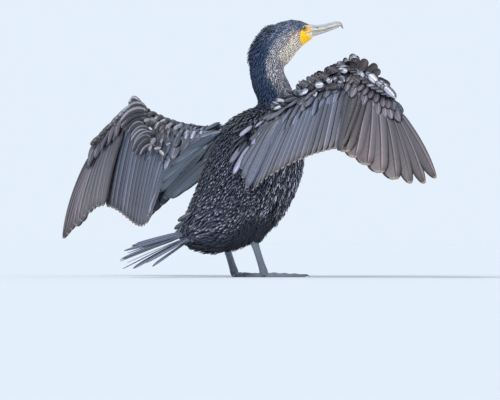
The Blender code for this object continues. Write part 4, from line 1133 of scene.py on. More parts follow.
def plumage_tint(points, colours):
    """Colour of skin and small feathers by their place on the bird."""
    place, _, side, back = along_spine(points)
    forward, _ = head_places(points)
    thigh = thigh_share(points)
    fine, coarse = ripple(points, 900, 11), ripple(points, 120, 12)
    speck = smoothstep(-0.5, 0.7, fine + 0.5 * ripple(points, 1700, 13))

    def mottled(colour, low, high=1.0):
        return np.array(colour) * lerp(low, high, speck)[:, None]

    base = shade_of(colours.plumage) * (1 + 0.25 * coarse[:, None])
    # Blue gloss down the back of the neck, mottled grey on its sides and front
    nape = smoothstep(9.5, 11.5, place) * smoothstep(0.25, 0.6, back)
    base = blend(base, shade_of(colours.nape), 0.85 * nape)
    neck = smoothstep(9.6, 13.0, place) * smoothstep(19.0, 16.5, place)
    neck *= smoothstep(0.62, 0.30, back + 0.10 * coarse)
    dusk = smoothstep(-0.35, -0.85, back) * smoothstep(14.5, 12.0, place)
    base = blend(base, mottled(shade_of(colours.pale), 0.50), neck * (0.92 - 0.40 * dusk))
    # Tan cheek, pale chin, slate crown
    cheek = smoothstep(-0.058, -0.036, forward + 0.004 * coarse)
    cheek *= smoothstep(0.500, 0.486, points[:, 2]) * smoothstep(14.5, 16.0, place)
    base = blend(base, mottled((1.20, 0.92, 0.70), 0.45), 0.92 * cheek)
    chin = smoothstep(-0.10, -0.55, back + 0.08 * fine) * smoothstep(14.2, 15.4, place)
    base = blend(base, (1.10, 0.85, 0.65), 0.92 * chin)
    crown = smoothstep(14.5, 16.5, place) * smoothstep(0.0, 0.5, back)
    base = blend(base, mottled((0.33, 0.39, 0.53), 0.25), 0.75 * crown)
    # Streaked breast, and painted glints on flank and rump
    breast = smoothstep(0.25, -0.10, back) * smoothstep(2.0, 4.0, place)
    breast *= smoothstep(10.5, 8.5, place) * (1 - thigh)
    lock = smoothstep(-0.35, 0.55, np.sin(np.arctan2(side, -back) * 30 + 2.2 * coarse))
    pale = mottled((0.66, 0.65, 0.78), 0.20, 1.3) * lerp(0.10, 1.0, lock)[:, None]
    base = blend(base, pale, 0.85 * breast)
    flank = smoothstep(6.2, 4.6, place) * smoothstep(-0.45, 0.0, back) * (1 - thigh)
    flank_glint = smoothstep(0.10, 0.8, ripple(points, 1100, 15))
    base = blend(base, (0.30, 0.27, 0.30), 0.30 * flank * flank_glint)
    # Painted shade: the thighs are 0.35 darker, and darkest in the valley where their edge meets
    # the flank.
    base = base * (1 - 0.35 * thigh - 1.6 * thigh * (1 - thigh))[:, None]
    belly = smoothstep(-0.35, -0.75, back) * smoothstep(4.5, 3.0, place)
    base = blend(base, (0.012, 0.014, 0.022), 0.9 * belly)
    bronze = shade_of(colours.bronze)
    base = blend(base, bronze * 0.8, 0.6 * mantle_share(points))
    return blend(base, bronze * 0.7, 0.75 * wing_share(points))


def face_tint(points, tint, line, colours):
    """Adds the bare face's yellow, the orange round the eye and the dark line of the mouth."""
    forward, _ = head_places(points)
    height = points[:, 2]
    yellow = np.repeat(shade_of(colours.gape)[None], len(points), axis=0)
    yellow = blend(yellow, (0.62, 0.44, 0.22), 0.9 * smoothstep(0.4905, 0.4945, height))
    low = lerp(0.4850, 0.4790, np.clip((forward + 0.0125) / 0.0125, 0, 1))
    ivory = smoothstep(-0.0135, -0.0105, forward) * smoothstep(low - 0.0006, low + 0.0006, height)
    yellow = blend(yellow, (0.74, 0.68, 0.60), 0.92 * ivory * smoothstep(0.4905, 0.4890, height))
    for eye in EYES.values():
        radius = np.linalg.norm(points - eye, axis=1)
        glow = smoothstep(0.0095, 0.0072, radius) * smoothstep(0.497, 0.494, height)
        yellow = blend(yellow, (0.92, 0.40, 0.01), 0.8 * glow)
        yellow = blend(yellow, (0.16, 0.13, 0.06), 0.75 * smoothstep(0.0066, 0.0060, radius))
    return blend(blend(tint, yellow, bare_share(points)), (0.05, 0.03, 0.02), 0.9 * line)


def unwrap_skin(skin):
    """The skin's own unwrap, which the coat's patches follow."""
    bpy.context.view_layer.objects.active = skin
    skin.select_set(True)
    bpy.ops.object.mode_set(mode="EDIT")
    bpy.ops.mesh.select_all(action="SELECT")
    bpy.ops.uv.smart_project(angle_limit=math.radians(60), island_margin=0.003)
    bpy.ops.object.mode_set(mode="OBJECT")
    skin.select_set(False)
    skin.data.uv_layers[0].name = "OFBake"


# Building the coat

def scatter_roots(skin, seed, spacing):
    """Roots for small feathers: places, normals and unwrap places, spread evenly by size."""
    mesh = skin.data
    mesh.calc_loop_triangles()
    corners = values(mesh.loop_triangles, "vertices", 3, np.int32)
    loops = values(mesh.loop_triangles, "loops", 3, np.int32)
    points, normals = mesh_points(mesh)
    uv = values(mesh.uv_layers["OFBake"].data, "uv", 2)[loops]
    triangle = points[corners]
    sides = triangle[:, 1:] - triangle[:, :1]
    area = np.linalg.norm(np.cross(sides[:, 0], sides[:, 1]), axis=1) / 2
    gap = spacing * coat_sizes(triangle.mean(1))[1]
    expected = area / gap ** 2 * ROOT_TRIES
    chance = np.random.default_rng(seed)
    total = int(expected.sum())
    picked = chance.choice(len(corners), total, p=expected / expected.sum())
    share = chance.random((total, 2))
    share[share.sum(1) > 1] = 1 - share[share.sum(1) > 1]
    weights = np.stack([1 - share.sum(1), share[:, 0], share[:, 1]], 1)[..., None]
    roots = (triangle[picked] * weights).sum(1)
    around = unit((normals[corners[picked]] * weights).sum(1))
    home = (uv[picked] * weights).sum(1)
    kept = thin_out(roots, gap[picked])
    return roots[kept], around[kept], home[kept]


def thin_out(points, gaps):
    """Indices of points that keep their gap to one another, taken in order."""
    tree = KDTree(len(points))
    for i, p in enumerate(points):
        tree.insert(p, i)
    tree.balance()
    open_points = np.ones(len(points), bool)
    kept = []
    for i in range(len(points)):
        if open_points[i]:
            kept.append(i)
            for _, j, _ in tree.find_range(points[i], gaps[i]):
                open_points[j] = False
    return np.array(kept)


def coat_sizes(points):
    """Length, width and depth of the small feathers at points of the skin."""
    thigh = thigh_share(points)
    low = smoothstep(0.085, 0.074, points[:, 2]) * thigh
    rows = sample_rows(SPINE[:, 3:], along_spine(points)[0])
    for size, share in (((0.0115, 0.0036, 0.0026), thigh), ((0.0070, 0.0028, 0.0012), low),
                        ((0.0190, 0.0078, 0.0042), mantle_share(points)),
                        ((0.0120, 0.0056, 0.0026), wing_share(points))):
        rows = blend(rows, size, share)
    return rows.T


def coat_lie(points, normals):
    """The way the small feathers lie, in the skin."""
    way = blend(-along_spine(points)[1], unit(HEEL - THIGH_TOP), thigh_share(points))
    wing_amount = wing_share(points)[:, None]
    for wing in made["wings"].values():
        mine = points[:, 0] * wing.side > 0
        out = (points[mine] - wing.shoulder) @ wing.span
        u = np.clip(out / np.linalg.norm(wing.wrist - wing.shoulder), 0, 1)
        way[mine] = lerp(way[mine], wing.way_back(u, made["fans"][wing.side]), wing_amount[mine])
    way = way + 0.10 * np.stack([ripple(points, 260, seed) for seed in (21, 22, 23)], 1)
    return unit(way - normals * (way * normals).sum(1, keepdims=True))


def snap(points):
    """Nearest places on the skin and the skin's normals there."""
    hits = [made["tree"].find_nearest(p)[:2] for p in points]
    return np.array([hit[0] for hit in hits]), np.array([hit[1] for hit in hits])


def tuft_batch(roots, normals, home, steps, colours, lift, seed):
    """Small feathers that follow the skin from root to tip."""
    chance = np.random.default_rng(seed)
    count = len(roots)

    def vary(low, high):
        return lerp(low, high, chance.random(count))

    length, width, depth = coat_sizes(roots)
    length = length * vary(0.70, 1.25)
    width = width * vary(0.75, 1.15)
    way = coat_lie(roots, normals)
    way = unit(way + 0.17 * chance.normal(size=(count, 3)))
    raised = depth * lift * vary(0.45, 1.60)
    # A short crest on the nape and a shaggy belly
    place, _, _, back = along_spine(roots)
    crest = smoothstep(13.4, 14.2, place) * smoothstep(17.0, 16.2, place)
    crest = crest * smoothstep(0.70, 0.90, back) * chance.random(count)
    shaggy = smoothstep(-0.45, -0.80, back) * smoothstep(6.0, 4.0, place)
    shaggy = shaggy * chance.random(count) ** 3
    length = length * (1 + 0.9 * crest + 0.6 * shaggy)
    raised = raised + 0.0080 * crest + 0.0060 * shaggy
    reach = way * (length * 0.5)[:, None]
    middle, middle_normal = snap(roots + reach)
    tip, tip_normal = snap(middle + reach)
    middle = middle + middle_normal * (raised * 0.62)[:, None]
    tip = tip + tip_normal * raised[:, None]
    start = roots - normals * (depth * 0.20)[:, None]
    s = np.asarray(steps)[None, :, None]
    control = middle * 2 - (start + tip) / 2
    centre = (start[:, None] * (1 - s) ** 2 + control[:, None] * (2 * s * (1 - s))
              + tip[:, None] * s ** 2)
    face = unit(normals[:, None] * (1 - s) + tip_normal[:, None] * s)
    along = unit(np.gradient(centre, axis=1))
    out = unit(np.cross(along, face))
    face = unit(np.cross(out, along))
    share = vane_share(steps, root=0.35, full=0.35, taper=0.45, blunt=1.8)
    half = np.repeat((width[:, None] * share / 2)[..., None], 2, axis=2)
    spread = lerp(0.36, 0.20, smoothstep(13.5, 15.0, place))
    tint = plumage_tint(roots, colours) * (1 + spread * vary(-1, 1))[:, None]
    tint = tint[:, None] * lerp(0.55, 1.30, s)
    # Painted glints: pale tips on some feathers of flank and rump
    glint = smoothstep(5.8, 3.4, place) * smoothstep(-0.45, 0.0, back) * (1 - thigh_share(roots))
    glint = 0.85 * glint * (chance.random(count) < 0.36) * vary(0.3, 1.0)
    glint = glint[:, None, None] * smoothstep(0.66, 0.90, s)
    tint = lerp(tint, np.array((0.52, 0.48, 0.53)), glint)
    return feather_batch(centre, out, face, half, TUFT_PROFILE, 0.35, 0.00022, steps, tint, home)


COAT_PIECES = ("coat_head", "coat_neck", "coat_breast_left", "coat_breast_right", "coat_flank_left",
               "coat_flank_right", "coat_back", "coat_thighs", "coat_wing_left", "coat_wing_right")
# Sections of a small feather, which are more on the pieces with the longest ones
SHORT_STEPS, LONG_STEPS = (0.0, 0.35, 0.75, 1.0), (0.0, 0.30, 0.62, 0.86, 1.0)
LONG_TUFTS = COAT_PIECES[4:7] + COAT_PIECES[8:]


def coat_region(points):
    """Which of the coat's pieces a root belongs to."""
    place, _, _, back = along_spine(points)
    right = (points[:, 0] < 0) * 1
    body = np.where(back < -0.3, 2 + right, np.where(back < 0.6, 4 + right, 6))
    region = np.where(place > 15, 0, np.where(place > 9, 1, body))
    region = np.where(thigh_share(points) > 0.5, 7, region)
    return np.where(wing_share(points) > 0.5, 8 + right, region)


# Long feathers

def home_of(roots):
    """Places on the skin's unwrap for feathers that grow from these roots."""
    uv, starts = made["homes"]
    return np.array([uv[starts[made["tree"].find_nearest(p)[2]]] for p in roots])


def wing_batches(wing, fans, colours):
    """Flight feathers and coverts of one wing, as batches by piece."""
    tertials, secondaries, primaries = fans
    slate, umber = shade_of(colours.slate), shade_of(colours.umber)
    brown = np.array(RUFFLE_BROWN)
    sheen_strength = 1.0 if wing.side < 0 else 0.35
    chance = np.random.default_rng(31 + wing.side)

    def tints(count, root, tip, spread):
        vary = lerp(1 - spread, 1 + spread, chance.random(count))[:, None]
        return root * vary, tip * vary

    held = smoothstep(5.5, 8.0, np.arange(PRIMARIES))
    flight = [
        fan_batch(primaries, lerp(0.043, 0.030, held), tip_steps(18, 1.35),
                  tints(PRIMARIES, lerp(slate, umber, 0.50) * 0.50, umber * 0.66, 0.32),
                  outer=(0.40, 0.22), taper=lerp(0.88, 0.60, held)[:, None], wave=0.05, seed=41),
        fan_batch(secondaries, 0.030, tip_steps(16, 1.35),
                  tints(SECONDARIES, slate * 0.54, lerp(slate, umber, 0.50) * 0.58, 0.32),
                  taper=0.80, blunt=2.4, wave=0.06, seed=42),
        fan_batch(tertials, 0.024, tip_steps(14, 1.35),
                  tints(TERTIALS, slate * 0.9, slate * 1.3, 0.25), taper=0.70, wave=0.10, seed=43),
    ]
    coverts = []
    for n, row in enumerate(COVERT_ROWS):
        count, _, _, width, _, _, start, stop = row
        lifted = min(1.0, n / 3)
        tone = lerp(slate * 0.72, brown, lifted)
        base, tip = tints(count, tone * 0.75, tone * 1.2, 0.30)
        inner = 1 - smoothstep(0.45, 0.75, np.linspace(start, stop, count))
        if wing.side > 0:
            base, tip = (blend(c, slate * 0.55, lifted * inner) for c in (base, tip))
        # Painted sheen: over half the coverts of the fourth to seventh rows get silver roots, fully
        # on the right wing and 0.35 as much on the left.
        lit = chance.random(count) < (0.55 if 2 < n < 7 else 0.0)
        base = blend(base, SILVER_SHEEN * 1.3, lit * lerp(0.5, 1.0, chance.random(count)) * sheen_strength)
        grow = lerp(*(wing.pose["grow"] if n > 2 else (1.0, 1.0)), 1 - inner)
        coverts.append(fan_batch(
            wing.covert_fan(row, fans, 1, 50 + n), width * np.minimum(grow, 1.15), tip_steps(9),
            (base, tip), camber=lerp(0.14, 0.60, n / (len(COVERT_ROWS) - 1)), taper=0.58, blunt=2.2,
            wave=lerp(0.08, 0.30, lifted), seed=60 + n, underside_sheen=0.9 * lifted,
            fade=2 if n < 3 else 7, **COVERT))
    for n, row in enumerate(HAND_ROWS):
        tone = lerp(lerp(slate, umber, 0.55) * 0.75, brown, n / (len(HAND_ROWS) - 1))
        base, tip = tints(row[0], tone * 0.8, tone * 1.15, 0.25)
        # Painted sheen: half the hand's coverts from the third row on get silver roots, fading out
        # towards the wing's tip.
        lit = (chance.random(row[0]) < 0.5) * (n > 1) * np.linspace(0.9, 0.0, row[0])
        base = blend(base, SILVER_SHEEN * 1.2, lit * sheen_strength)
        coverts.append(fan_batch(
            wing.hand_fan(row, fans, 1, 70 + n), row[3], tip_steps(8), (base, tip), camber=0.25,
            taper=0.60, wave=0.12, seed=80 + n, underside_sheen=0.3 * n, fade=2 if n < 2 else 7,
            **{**COVERT, "outer": NARROWING}))
    alula = wing.alula_fan()
    # Painted sheen: the thumb's feathers are 0.35 of the way to silver at their roots.
    tone = tints(len(alula.roots), lerp(slate, SILVER_SHEEN, 0.35), slate * 1.2, 0.2)
    coverts.append(fan_batch(alula, 0.016, tip_steps(12), tone, outer=EVEN, camber=0.2,
                             profile=COVERT_PROFILE, seed=88))

    def lining(fan, width, seed, **look):
        tone = tints(len(fan.roots), slate * 0.6, slate * 0.8, 0.2)
        look = {**COVERT, "lift": 0.0008, "taper": 0.55, **look}
        return fan_batch(fan, width, tip_steps(7), tone, seed=seed, **look)

    under = [lining(wing.covert_fan((*row, 0.0, 0.16, 0.97), fans, -1, 90 + n), row[3], 100 + n,
                    camber=0.2, wave=0.06) for n, row in enumerate(UNDER_ROWS)]
    under += [lining(wing.hand_fan(row, fans, -1, 110 + n), row[3], 120 + n, outer=NARROWING,
                     camber=0.15, wave=0.05) for n, row in enumerate(HAND_ROWS[:3])]
    return {"flight": flight, "coverts": coverts, "under": under}


def scapular_batches(side, colours):
    """The loose long feathers that bridge back and elbow, in three layers."""
    face = made["wings"]["left" if side > 0 else "right"].main_face
    # Painted light and shade: the same feathers are painted 1.2 times slate on the left side and
    # 0.35 times slate on the right.
    tone = shade_of(colours.slate) * (0.35 if side < 0 else 1.2)
    table = np.array([(*root, *(unit(np.array(way)) * length), width)
                      for root, way, length, width in SCAPULARS[side]])
    batches = []
    for layer, (shorter, higher, light) in enumerate(SCAPULAR_LAYERS):
        chance = np.random.default_rng(300 + layer + side)
        count = 7 + layer
        places = np.minimum(np.linspace(0, len(table) - 1, count), len(table) - 1.001)
        chosen = sample_rows(table, places)
        ways, backs = tilted(unit(chosen[:, 3:6]), face, 3 + 7 * layer + chance.normal(0, 3, count))
        reach = ways * (np.linalg.norm(chosen[:, 3:6], axis=1) * shorter)[:, None]
        fan = Fan(chosen[:, :3] + face * higher, reach, 0.10, backs, face * 0, 0.8)
        shade = tone * light * lerp(0.75, 1.25, chance.random(count))[:, None]
        batches.append(fan_batch(fan, float(chosen[:, 6].mean()), tip_steps(12),
                                 (shade * 0.7, shade * 1.1), outer=EVEN, camber=0.22, lift=0.0016,
                                 thick=0.0004, taper=0.55, wave=0.20, seed=310 + layer))
    return batches


def picture_points(places):
    """World places of points given by across, up and near in the plane of the photo."""
    return places[:, :1] * RIGHT + places[:, 1:2] * UP + places[:, 2:] * NEAR


def loose_batch(rows, colour, seed, camber=0.25, last=1.0, arch=0.0, toward=NEAR):
    """Single feathers at listed places, by default with their upper sides to the photo's viewer."""
    rows = np.array(rows)
    places = rows[:, :7] / 1000
    roots, tips = picture_points(places[:, :3]), picture_points(places[:, 3:6])
    reach = tips - roots
    dorsal = unit(toward - unit(reach) * (unit(reach) @ toward)[:, None])
    fan = Fan(roots, reach, 0.08, dorsal, UP * arch, 1.0)
    tone = np.array(colour) * lerp(0.8, 1.2, np.random.default_rng(seed).random((len(rows), 1)))
    if rows.shape[1] > 7:
        tone = tone * rows[:, 7:]
    return fan_batch(fan, places[:, 6], tip_steps(14), (tone * 0.7, tone * last), outer=EVEN,
                     camber=camber, thick=0.0004, taper=0.66, blunt=2.2, wave=0.15, seed=seed)


def tail_fans():
    """Two half fans of stiff tail feathers."""
    level = unit(np.array((1.0, 0, 0)) - TAIL_HEADING * TAIL_HEADING[0])
    up = unit(np.cross(TAIL_HEADING, level))
    up = up if up[2] > 0 else -up
    across = level * math.cos(TAIL_ROLL) + up * math.sin(TAIL_ROLL)
    face = up * math.cos(TAIL_ROLL) - level * math.sin(TAIL_ROLL)
    half = TAIL_FEATHERS // 2
    share = (np.arange(half) + 0.5) / half
    fans = []
    for side, layer in ((1, 0.0012), (-1, -0.0004)):
        angle = (share * TAIL_SPREAD / 2 * side)[:, None]
        roots = TAIL_ROOT + across * (side * share * 0.016)[:, None] + face * layer
        sway = 0.055 * np.sin(np.arange(half) * 2.4 + side)[:, None]
        reach = TAIL_HEADING * np.cos(angle) + across * np.sin(angle) + face * sway
        reach = unit(reach) * (TAIL_LENGTH * (1 - 0.42 * share ** 1.5))[:, None]
        fans.append(Fan(roots, reach, 0.03, face, face * 0))
    return fans


# Bill, eyes, legs and feet

def tube(rings, maps_along):
    """Points, quads and Vane places of a closed tube through rings of equal count."""
    rings = np.array(rings)
    sections, count = rings.shape[:2]
    vane = np.zeros((sections, count, 2))
    vane[..., 0] = np.arange(count) / count
    vane[..., 1] = np.asarray(maps_along)[:, None]
    return rings.reshape(-1, 3), tube_quads(sections, count), vane.reshape(-1, 2)


def plain_piece(name, parts, material, replaced=()):
    """One piece from closed parts, each with points, quads, Vane places and colours."""
    batches = []
    for points, quads, vane, tint in parts:
        a, b, c, d = np.moveaxis(points[quads], 1, 0)
        inside_out = np.einsum("ij,ij->", a, np.cross(b, c) + np.cross(c, d)) < 0
        batches.append((points, quads[:, ::-1] if inside_out else quads, vane, vane, tint))
    return feather_piece(name, batches, material, replaced)


def arch(f, half, top, bottom, upper, dent=0.0):
    """A D-shaped ring of the bill. dent is how deep the long groove of its side is."""
    angle = np.linspace(0, math.pi, ARCH_POINTS)
    rise = np.sin(angle) ** 0.8
    side = np.cos(angle) * half
    side = side - np.sign(side) * np.exp(-((rise - GROOVE_HEIGHT) / 0.10) ** 2) * dent
    start, way = (bottom, 1) if upper else (top, -1)
    heights = start + way * (top - bottom) * rise
    back = np.linspace(-1, 1, BASE_POINTS + 2)[1:-1]
    side = np.concatenate([side, back * half * 0.96])
    heights = np.concatenate([heights, start + way * 0.0004 * (1 - back ** 2)])
    return BILL_BASE + HEAD_FORWARD * f + HEAD_LEFT * side[:, None] + UP * heights[:, None]


def bill_part(rings, along, tint_at):
    """Half a bill from its rings. tint_at gives colours for heights and distances as shares."""
    points, quads, vane = tube(rings, along)
    height = np.sin(np.linspace(0, math.pi, ARCH_POINTS)) ** 0.8
    height = np.tile(np.concatenate([height, np.zeros(BASE_POINTS)]), len(rings))
    tint = tint_at(height, np.repeat(along, ARCH_POINTS + BASE_POINTS))
    return points, quads, vane, blend(tint, (0.30, 0.22, 0.15), 0.7 * smoothstep(0.10, 0.0, height))


def bill_parts():
    """Both halves of the bill with groove, hook and mouth line."""
    horn = shade_of(bpy.context.scene.cormorant_colours.horn)
    ivory, brown = np.array((0.66, 0.61, 0.54)), (0.36, 0.25, 0.17)
    body = np.linspace(BILL[0, 0], BILL[-1, 0], 44)
    table = [np.interp(body, BILL[:, 0], BILL[:, k]) for k in range(1, 5)]
    upper, lower = [], []
    for f, top, mouth, under, half in zip(body, *table):
        dent = 0.0007 * float(smoothstep(0.000, 0.006, f) * smoothstep(0.056, 0.046, f))
        upper.append(arch(f, half, top, mouth + MOUTH_GAP, True, dent))
        lower.append(arch(f, half * 0.95, mouth - MOUTH_GAP, under, False))
    tip = np.linspace(HOOK[0, 0], HOOK[-1, 0], 16)[1:]
    for f in tip:
        top, low, half = (np.interp(f, HOOK[:, 0], HOOK[:, k]) for k in (1, 2, 3))
        swell = 0.07 * math.exp(-((f - 0.0600) / 0.0012) ** 2)
        upper.append(arch(f, half * (1 + swell), top + 0.004 * swell, low, True))
    lower[-1] = lower[-2] * 0.45 + lower[-2].mean(0) * 0.55 + HEAD_FORWARD * 0.0012

    def upper_tint(height, far):
        tint = blend(ivory, horn, smoothstep(0.25, 0.60, height))
        groove = np.exp(-((height - GROOVE_HEIGHT) / 0.09) ** 2) * smoothstep(0.0, 0.10, far)
        tint = blend(tint, horn * 0.55, 0.8 * groove)
        return blend(tint, brown, 0.85 * smoothstep(0.86, 0.97, far))

    def lower_tint(height, _):
        return blend(horn * 0.9, ivory * 1.08, smoothstep(0.1, 0.5, height))

    reach = HOOK[-1, 0]
    return (bill_part(upper, np.concatenate([body, tip]) / reach, upper_tint),
            bill_part(lower, body / reach, lower_tint))


def nostril_parts():
    """Thin dark slits in the groove, painted shade in place of the nostrils' openings."""
    parts = []
    for side in (1, -1):
        rings = []
        for s in np.linspace(0, 1, 9):
            centre = BILL_BASE + HEAD_FORWARD * (0.0085 + 0.007 * s) + UP * (0.0068 + 0.0006 * s)
            centre = centre + HEAD_LEFT * (side * (0.0088 - 0.0011 * s))
            half = 0.0008 * math.sin(math.pi * (0.08 + 0.84 * s))
            rings.append(ring(centre, HEAD_LEFT, UP, half * 1.4, half * 0.8, 8))
        parts.append(dark_tube(rings, 0.02))
    return parts


def dark_tube(rings, grey):
    points, quads, vane = tube(rings, np.linspace(0, 1, len(rings)))
    return points, quads, vane, np.full((len(points), 3), grey)


def eye_part(side, eye, iris):
    """An eyeball with a low cornea. Its Vane map runs round and out from the pupil."""
    out = HEAD_LEFT * side
    polar = np.linspace(0.03, math.pi - 0.03, 30)
    rings = []
    for a in polar:
        radius = EYE_RADIUS - 0.0001 + 0.0005 * math.exp(-(a / 0.5) ** 2)
        rings.append(ring(eye + out * math.cos(a) * radius, HEAD_FORWARD, UP, math.sin(a) * radius,
                          math.sin(a) * radius, 40))
    points, quads, vane = tube(rings, np.clip(polar / 0.80, 0, 1))
    return points, quads, vane, np.repeat(iris[None], len(points), axis=0)


def leg_parts(side, skin):
    """A shank with its tendons and the scutes of its front."""
    mirror = np.array((side, 1, 1))
    heel, ankle = HEEL * mirror, ANKLE * mirror
    across = np.array((1.0, 0, 0))
    depth = unit(np.cross(unit(ankle - heel), across))
    steps = np.linspace(SHANK[0, 0], SHANK[-1, 0], 60)
    angle = np.arange(28) * 2 * math.pi / 28
    rings = []
    for s in steps:
        wide, deep = (np.interp(s, SHANK[:, 0], SHANK[:, k]) for k in (1, 2))
        scute = 1 + 0.018 * np.sin(s * 150) * (np.sin(angle) < -0.2)
        pinch = 1 - 0.14 * np.exp(-((np.abs(np.cos(angle)) - 0.85) / 0.16) ** 2) * (0.15 < s < 0.85)
        rings.append(lerp(heel, ankle, s) + across * (np.cos(angle) * wide * pinch)[:, None]
                     + depth * (np.sin(angle) * deep * scute)[:, None])
    points, quads, vane = tube(rings, steps)
    light = lerp(0.85, 1.5, smoothstep(0.9, -0.1, vane[:, 1]))[:, None]
    return points, quads, vane, skin * light


def toe_way(degrees, side):
    turn = math.radians(degrees)
    return np.array((math.sin(turn) * side, -math.cos(turn), 0.0))


def toe_parts(side, skin):
    """Jointed toes with flat soles, and the claws beyond them."""
    base = TOE_BASE * np.array((side, 1, 1))
    bare = 1 - CLAW_SHARE
    angle = np.linspace(0, math.pi, 13)
    toes, claws = [], []
    for _, length, degrees, joints in TOES:
        way = toe_way(degrees, side)
        across = np.array((-way[1], way[0], 0.0))
        steps = np.linspace(0, bare, 40)
        rings = []
        for s in steps:
            knot = 0.10 * math.cos(2 * math.pi * joints * s / bare)
            half = TOE_RADIUS * (1.10 - 0.52 * s) * (1 + knot) * (1 - max(0.0, s - 0.80) * 1.5)
            wide = np.concatenate([np.cos(angle), (-0.8, -0.3, 0.3, 0.8, 0.95)]) * half
            heights = 0.0005 + half * (0.30 + 1.45 * np.sin(angle) ** 0.9)
            heights = np.concatenate([heights, np.zeros(5)])
            rings.append(base + way * (length * s) + across * wide[:, None] + UP * heights[:, None])
        points, quads, vane = tube(rings, steps)
        toes.append((points, quads, vane, skin * lerp(1.15, 0.8, vane[:, 1:])))
        rings = []
        for s in np.linspace(0, 1, 16):
            half = TOE_RADIUS * 0.44 * (1 - s) ** 0.8 + 0.00012
            centre = base + way * (length * (bare + CLAW_SHARE * (s - 0.06)))
            centre = centre + UP * (0.0034 - 0.0026 * s * s + 0.0009 * math.sin(math.pi * s))
            rings.append(ring(centre, across, UP, half * 0.8, half, 12))
        claws.append(dark_tube(rings, 0.03))
    return toes, claws


def web_parts(side, skin):
    """The webs between the toes, with low ribs and a hollow front edge."""
    base = TOE_BASE * np.array((side, 1, 1))
    rows, columns = 22, 24
    r, q = np.meshgrid(np.linspace(0.04, 1, rows), np.linspace(0, 1, columns), indexing="ij")
    i, j = np.meshgrid(np.arange(rows - 1), np.arange(columns - 1), indexing="ij")
    k = (i * columns + j).ravel()
    top = np.stack([k, k + 1, k + columns + 1, k + columns], 1)
    rim = np.concatenate([np.arange(columns), np.arange(1, rows) * columns + columns - 1,
                          (rows - 1) * columns + np.arange(columns - 2, -1, -1),
                          np.arange(rows - 2, 0, -1) * columns])
    after = np.roll(rim, -1)
    wall = np.stack([after, rim, rim + rows * columns, after + rows * columns], 1)
    quads = np.concatenate([top, top[:, ::-1] + rows * columns, wall])
    vane = np.stack([q.ravel(), r.ravel()], 1)
    tint = skin * lerp(1.0, 0.7, r.ravel()[:, None])
    pull = 1 - (1 - WEB_SAG) * np.sin(math.pi * q) * r
    rib = 0.00022 * np.sin(q * 34 + 2.2 * np.sin(r * 5)) * smoothstep(0.15, 0.5, r)
    height = WEB_HIGH - 0.0003 - 0.0004 * np.sin(math.pi * q) * r + rib
    parts = []
    for (_, first, turn_a, _), (_, second, turn_b, _) in zip(TOES, TOES[1:]):
        a, b = toe_way(turn_a, side) * first * WEB_REACH, toe_way(turn_b, side) * second * WEB_REACH
        flat = lerp(a, b, q[..., None]) * (r * pull)[..., None] + base
        points = np.concatenate([flat + UP * height[..., None], flat + UP * WEB_LOW]).reshape(-1, 3)
        # Painted shade: the web's underside is 0.6 as bright as its top.
        parts.append((points, quads, np.concatenate([vane, vane]),
                      np.concatenate([tint, tint * 0.6])))
    return parts


# Operators

class CORMORANT_OT_skin(bpy.types.Operator):
    """Grow the one skin of body, thighs and wings, with its face"""
    bl_idname = "cormorant.skin"
    bl_label = "Skin"

    def execute(self, context):
        colours = context.scene.cormorant_colours
        made["wings"] = {"left": Wing(LEFT_WING), "right": Wing(RIGHT_WING)}
        made["fans"] = {wing.side: wing.flight_fans() for wing in made["wings"].values()}
        skin = flesh_object()
        mesh = skin.data
        points, normals = mesh_points(mesh)
        inset = coat_sizes(points)[2] * (1 - bare_share(points))
        mesh.vertices.foreach_set("co", (points - normals * inset[:, None]).ravel())
        refine_face(mesh)
        relax(skin, 3)
        mesh = skin.data
        points, normals = mesh_points(mesh)
        points, line = shape_face(points, normals)
        mesh.vertices.foreach_set("co", points.ravel())
        mesh.update()
        set_tint(mesh, face_tint(points, plumage_tint(points, colours), line, colours))
        unwrap_skin(skin)
        mesh.materials.append(hide_material())
        mesh.materials.append(bare_material())
        bare = bare_share(values(mesh.polygons, "center", 3)) > 0.5
        mesh.polygons.foreach_set("material_index", bare.astype(np.int32))
        mesh.shade_smooth()
        made["skin"] = skin
        made["tree"] = BVHTree.FromObject(skin, context.evaluated_depsgraph_get())
        made["homes"] = (values(mesh.uv_layers["OFBake"].data, "uv", 2),
                         values(mesh.polygons, "loop_start", 1, np.int32))
        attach(skin, "root")
        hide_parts(*FLESH_NODES)
        return {"FINISHED"}


class CORMORANT_OT_coat(bpy.types.Operator):
    """Cover the skin with small overlapping feathers"""
    bl_idname = "cormorant.coat"
    bl_label = "Small Feathers"

    def execute(self, context):
        sizes, colours = context.scene.cormorant_sizes, context.scene.cormorant_colours
        material = feather_material("small_feather", 26.0, 0.9, 0.55, 0.25, 0.52, sizes.barb_relief)
        roots, normals, home = scatter_roots(made["skin"], 7, sizes.spacing)
        feathered = bare_share(roots) < 0.5
        roots, normals, home = roots[feathered], normals[feathered], home[feathered]
        region = coat_region(roots)
        for n, name in enumerate(COAT_PIECES):
            mine = region == n
            steps = LONG_STEPS if name in LONG_TUFTS else SHORT_STEPS
            batch = tuft_batch(roots[mine], normals[mine], home[mine], steps, colours,
                               sizes.lift, 200 + n)
            feather_piece(name, [batch], material)
        return {"FINISHED"}


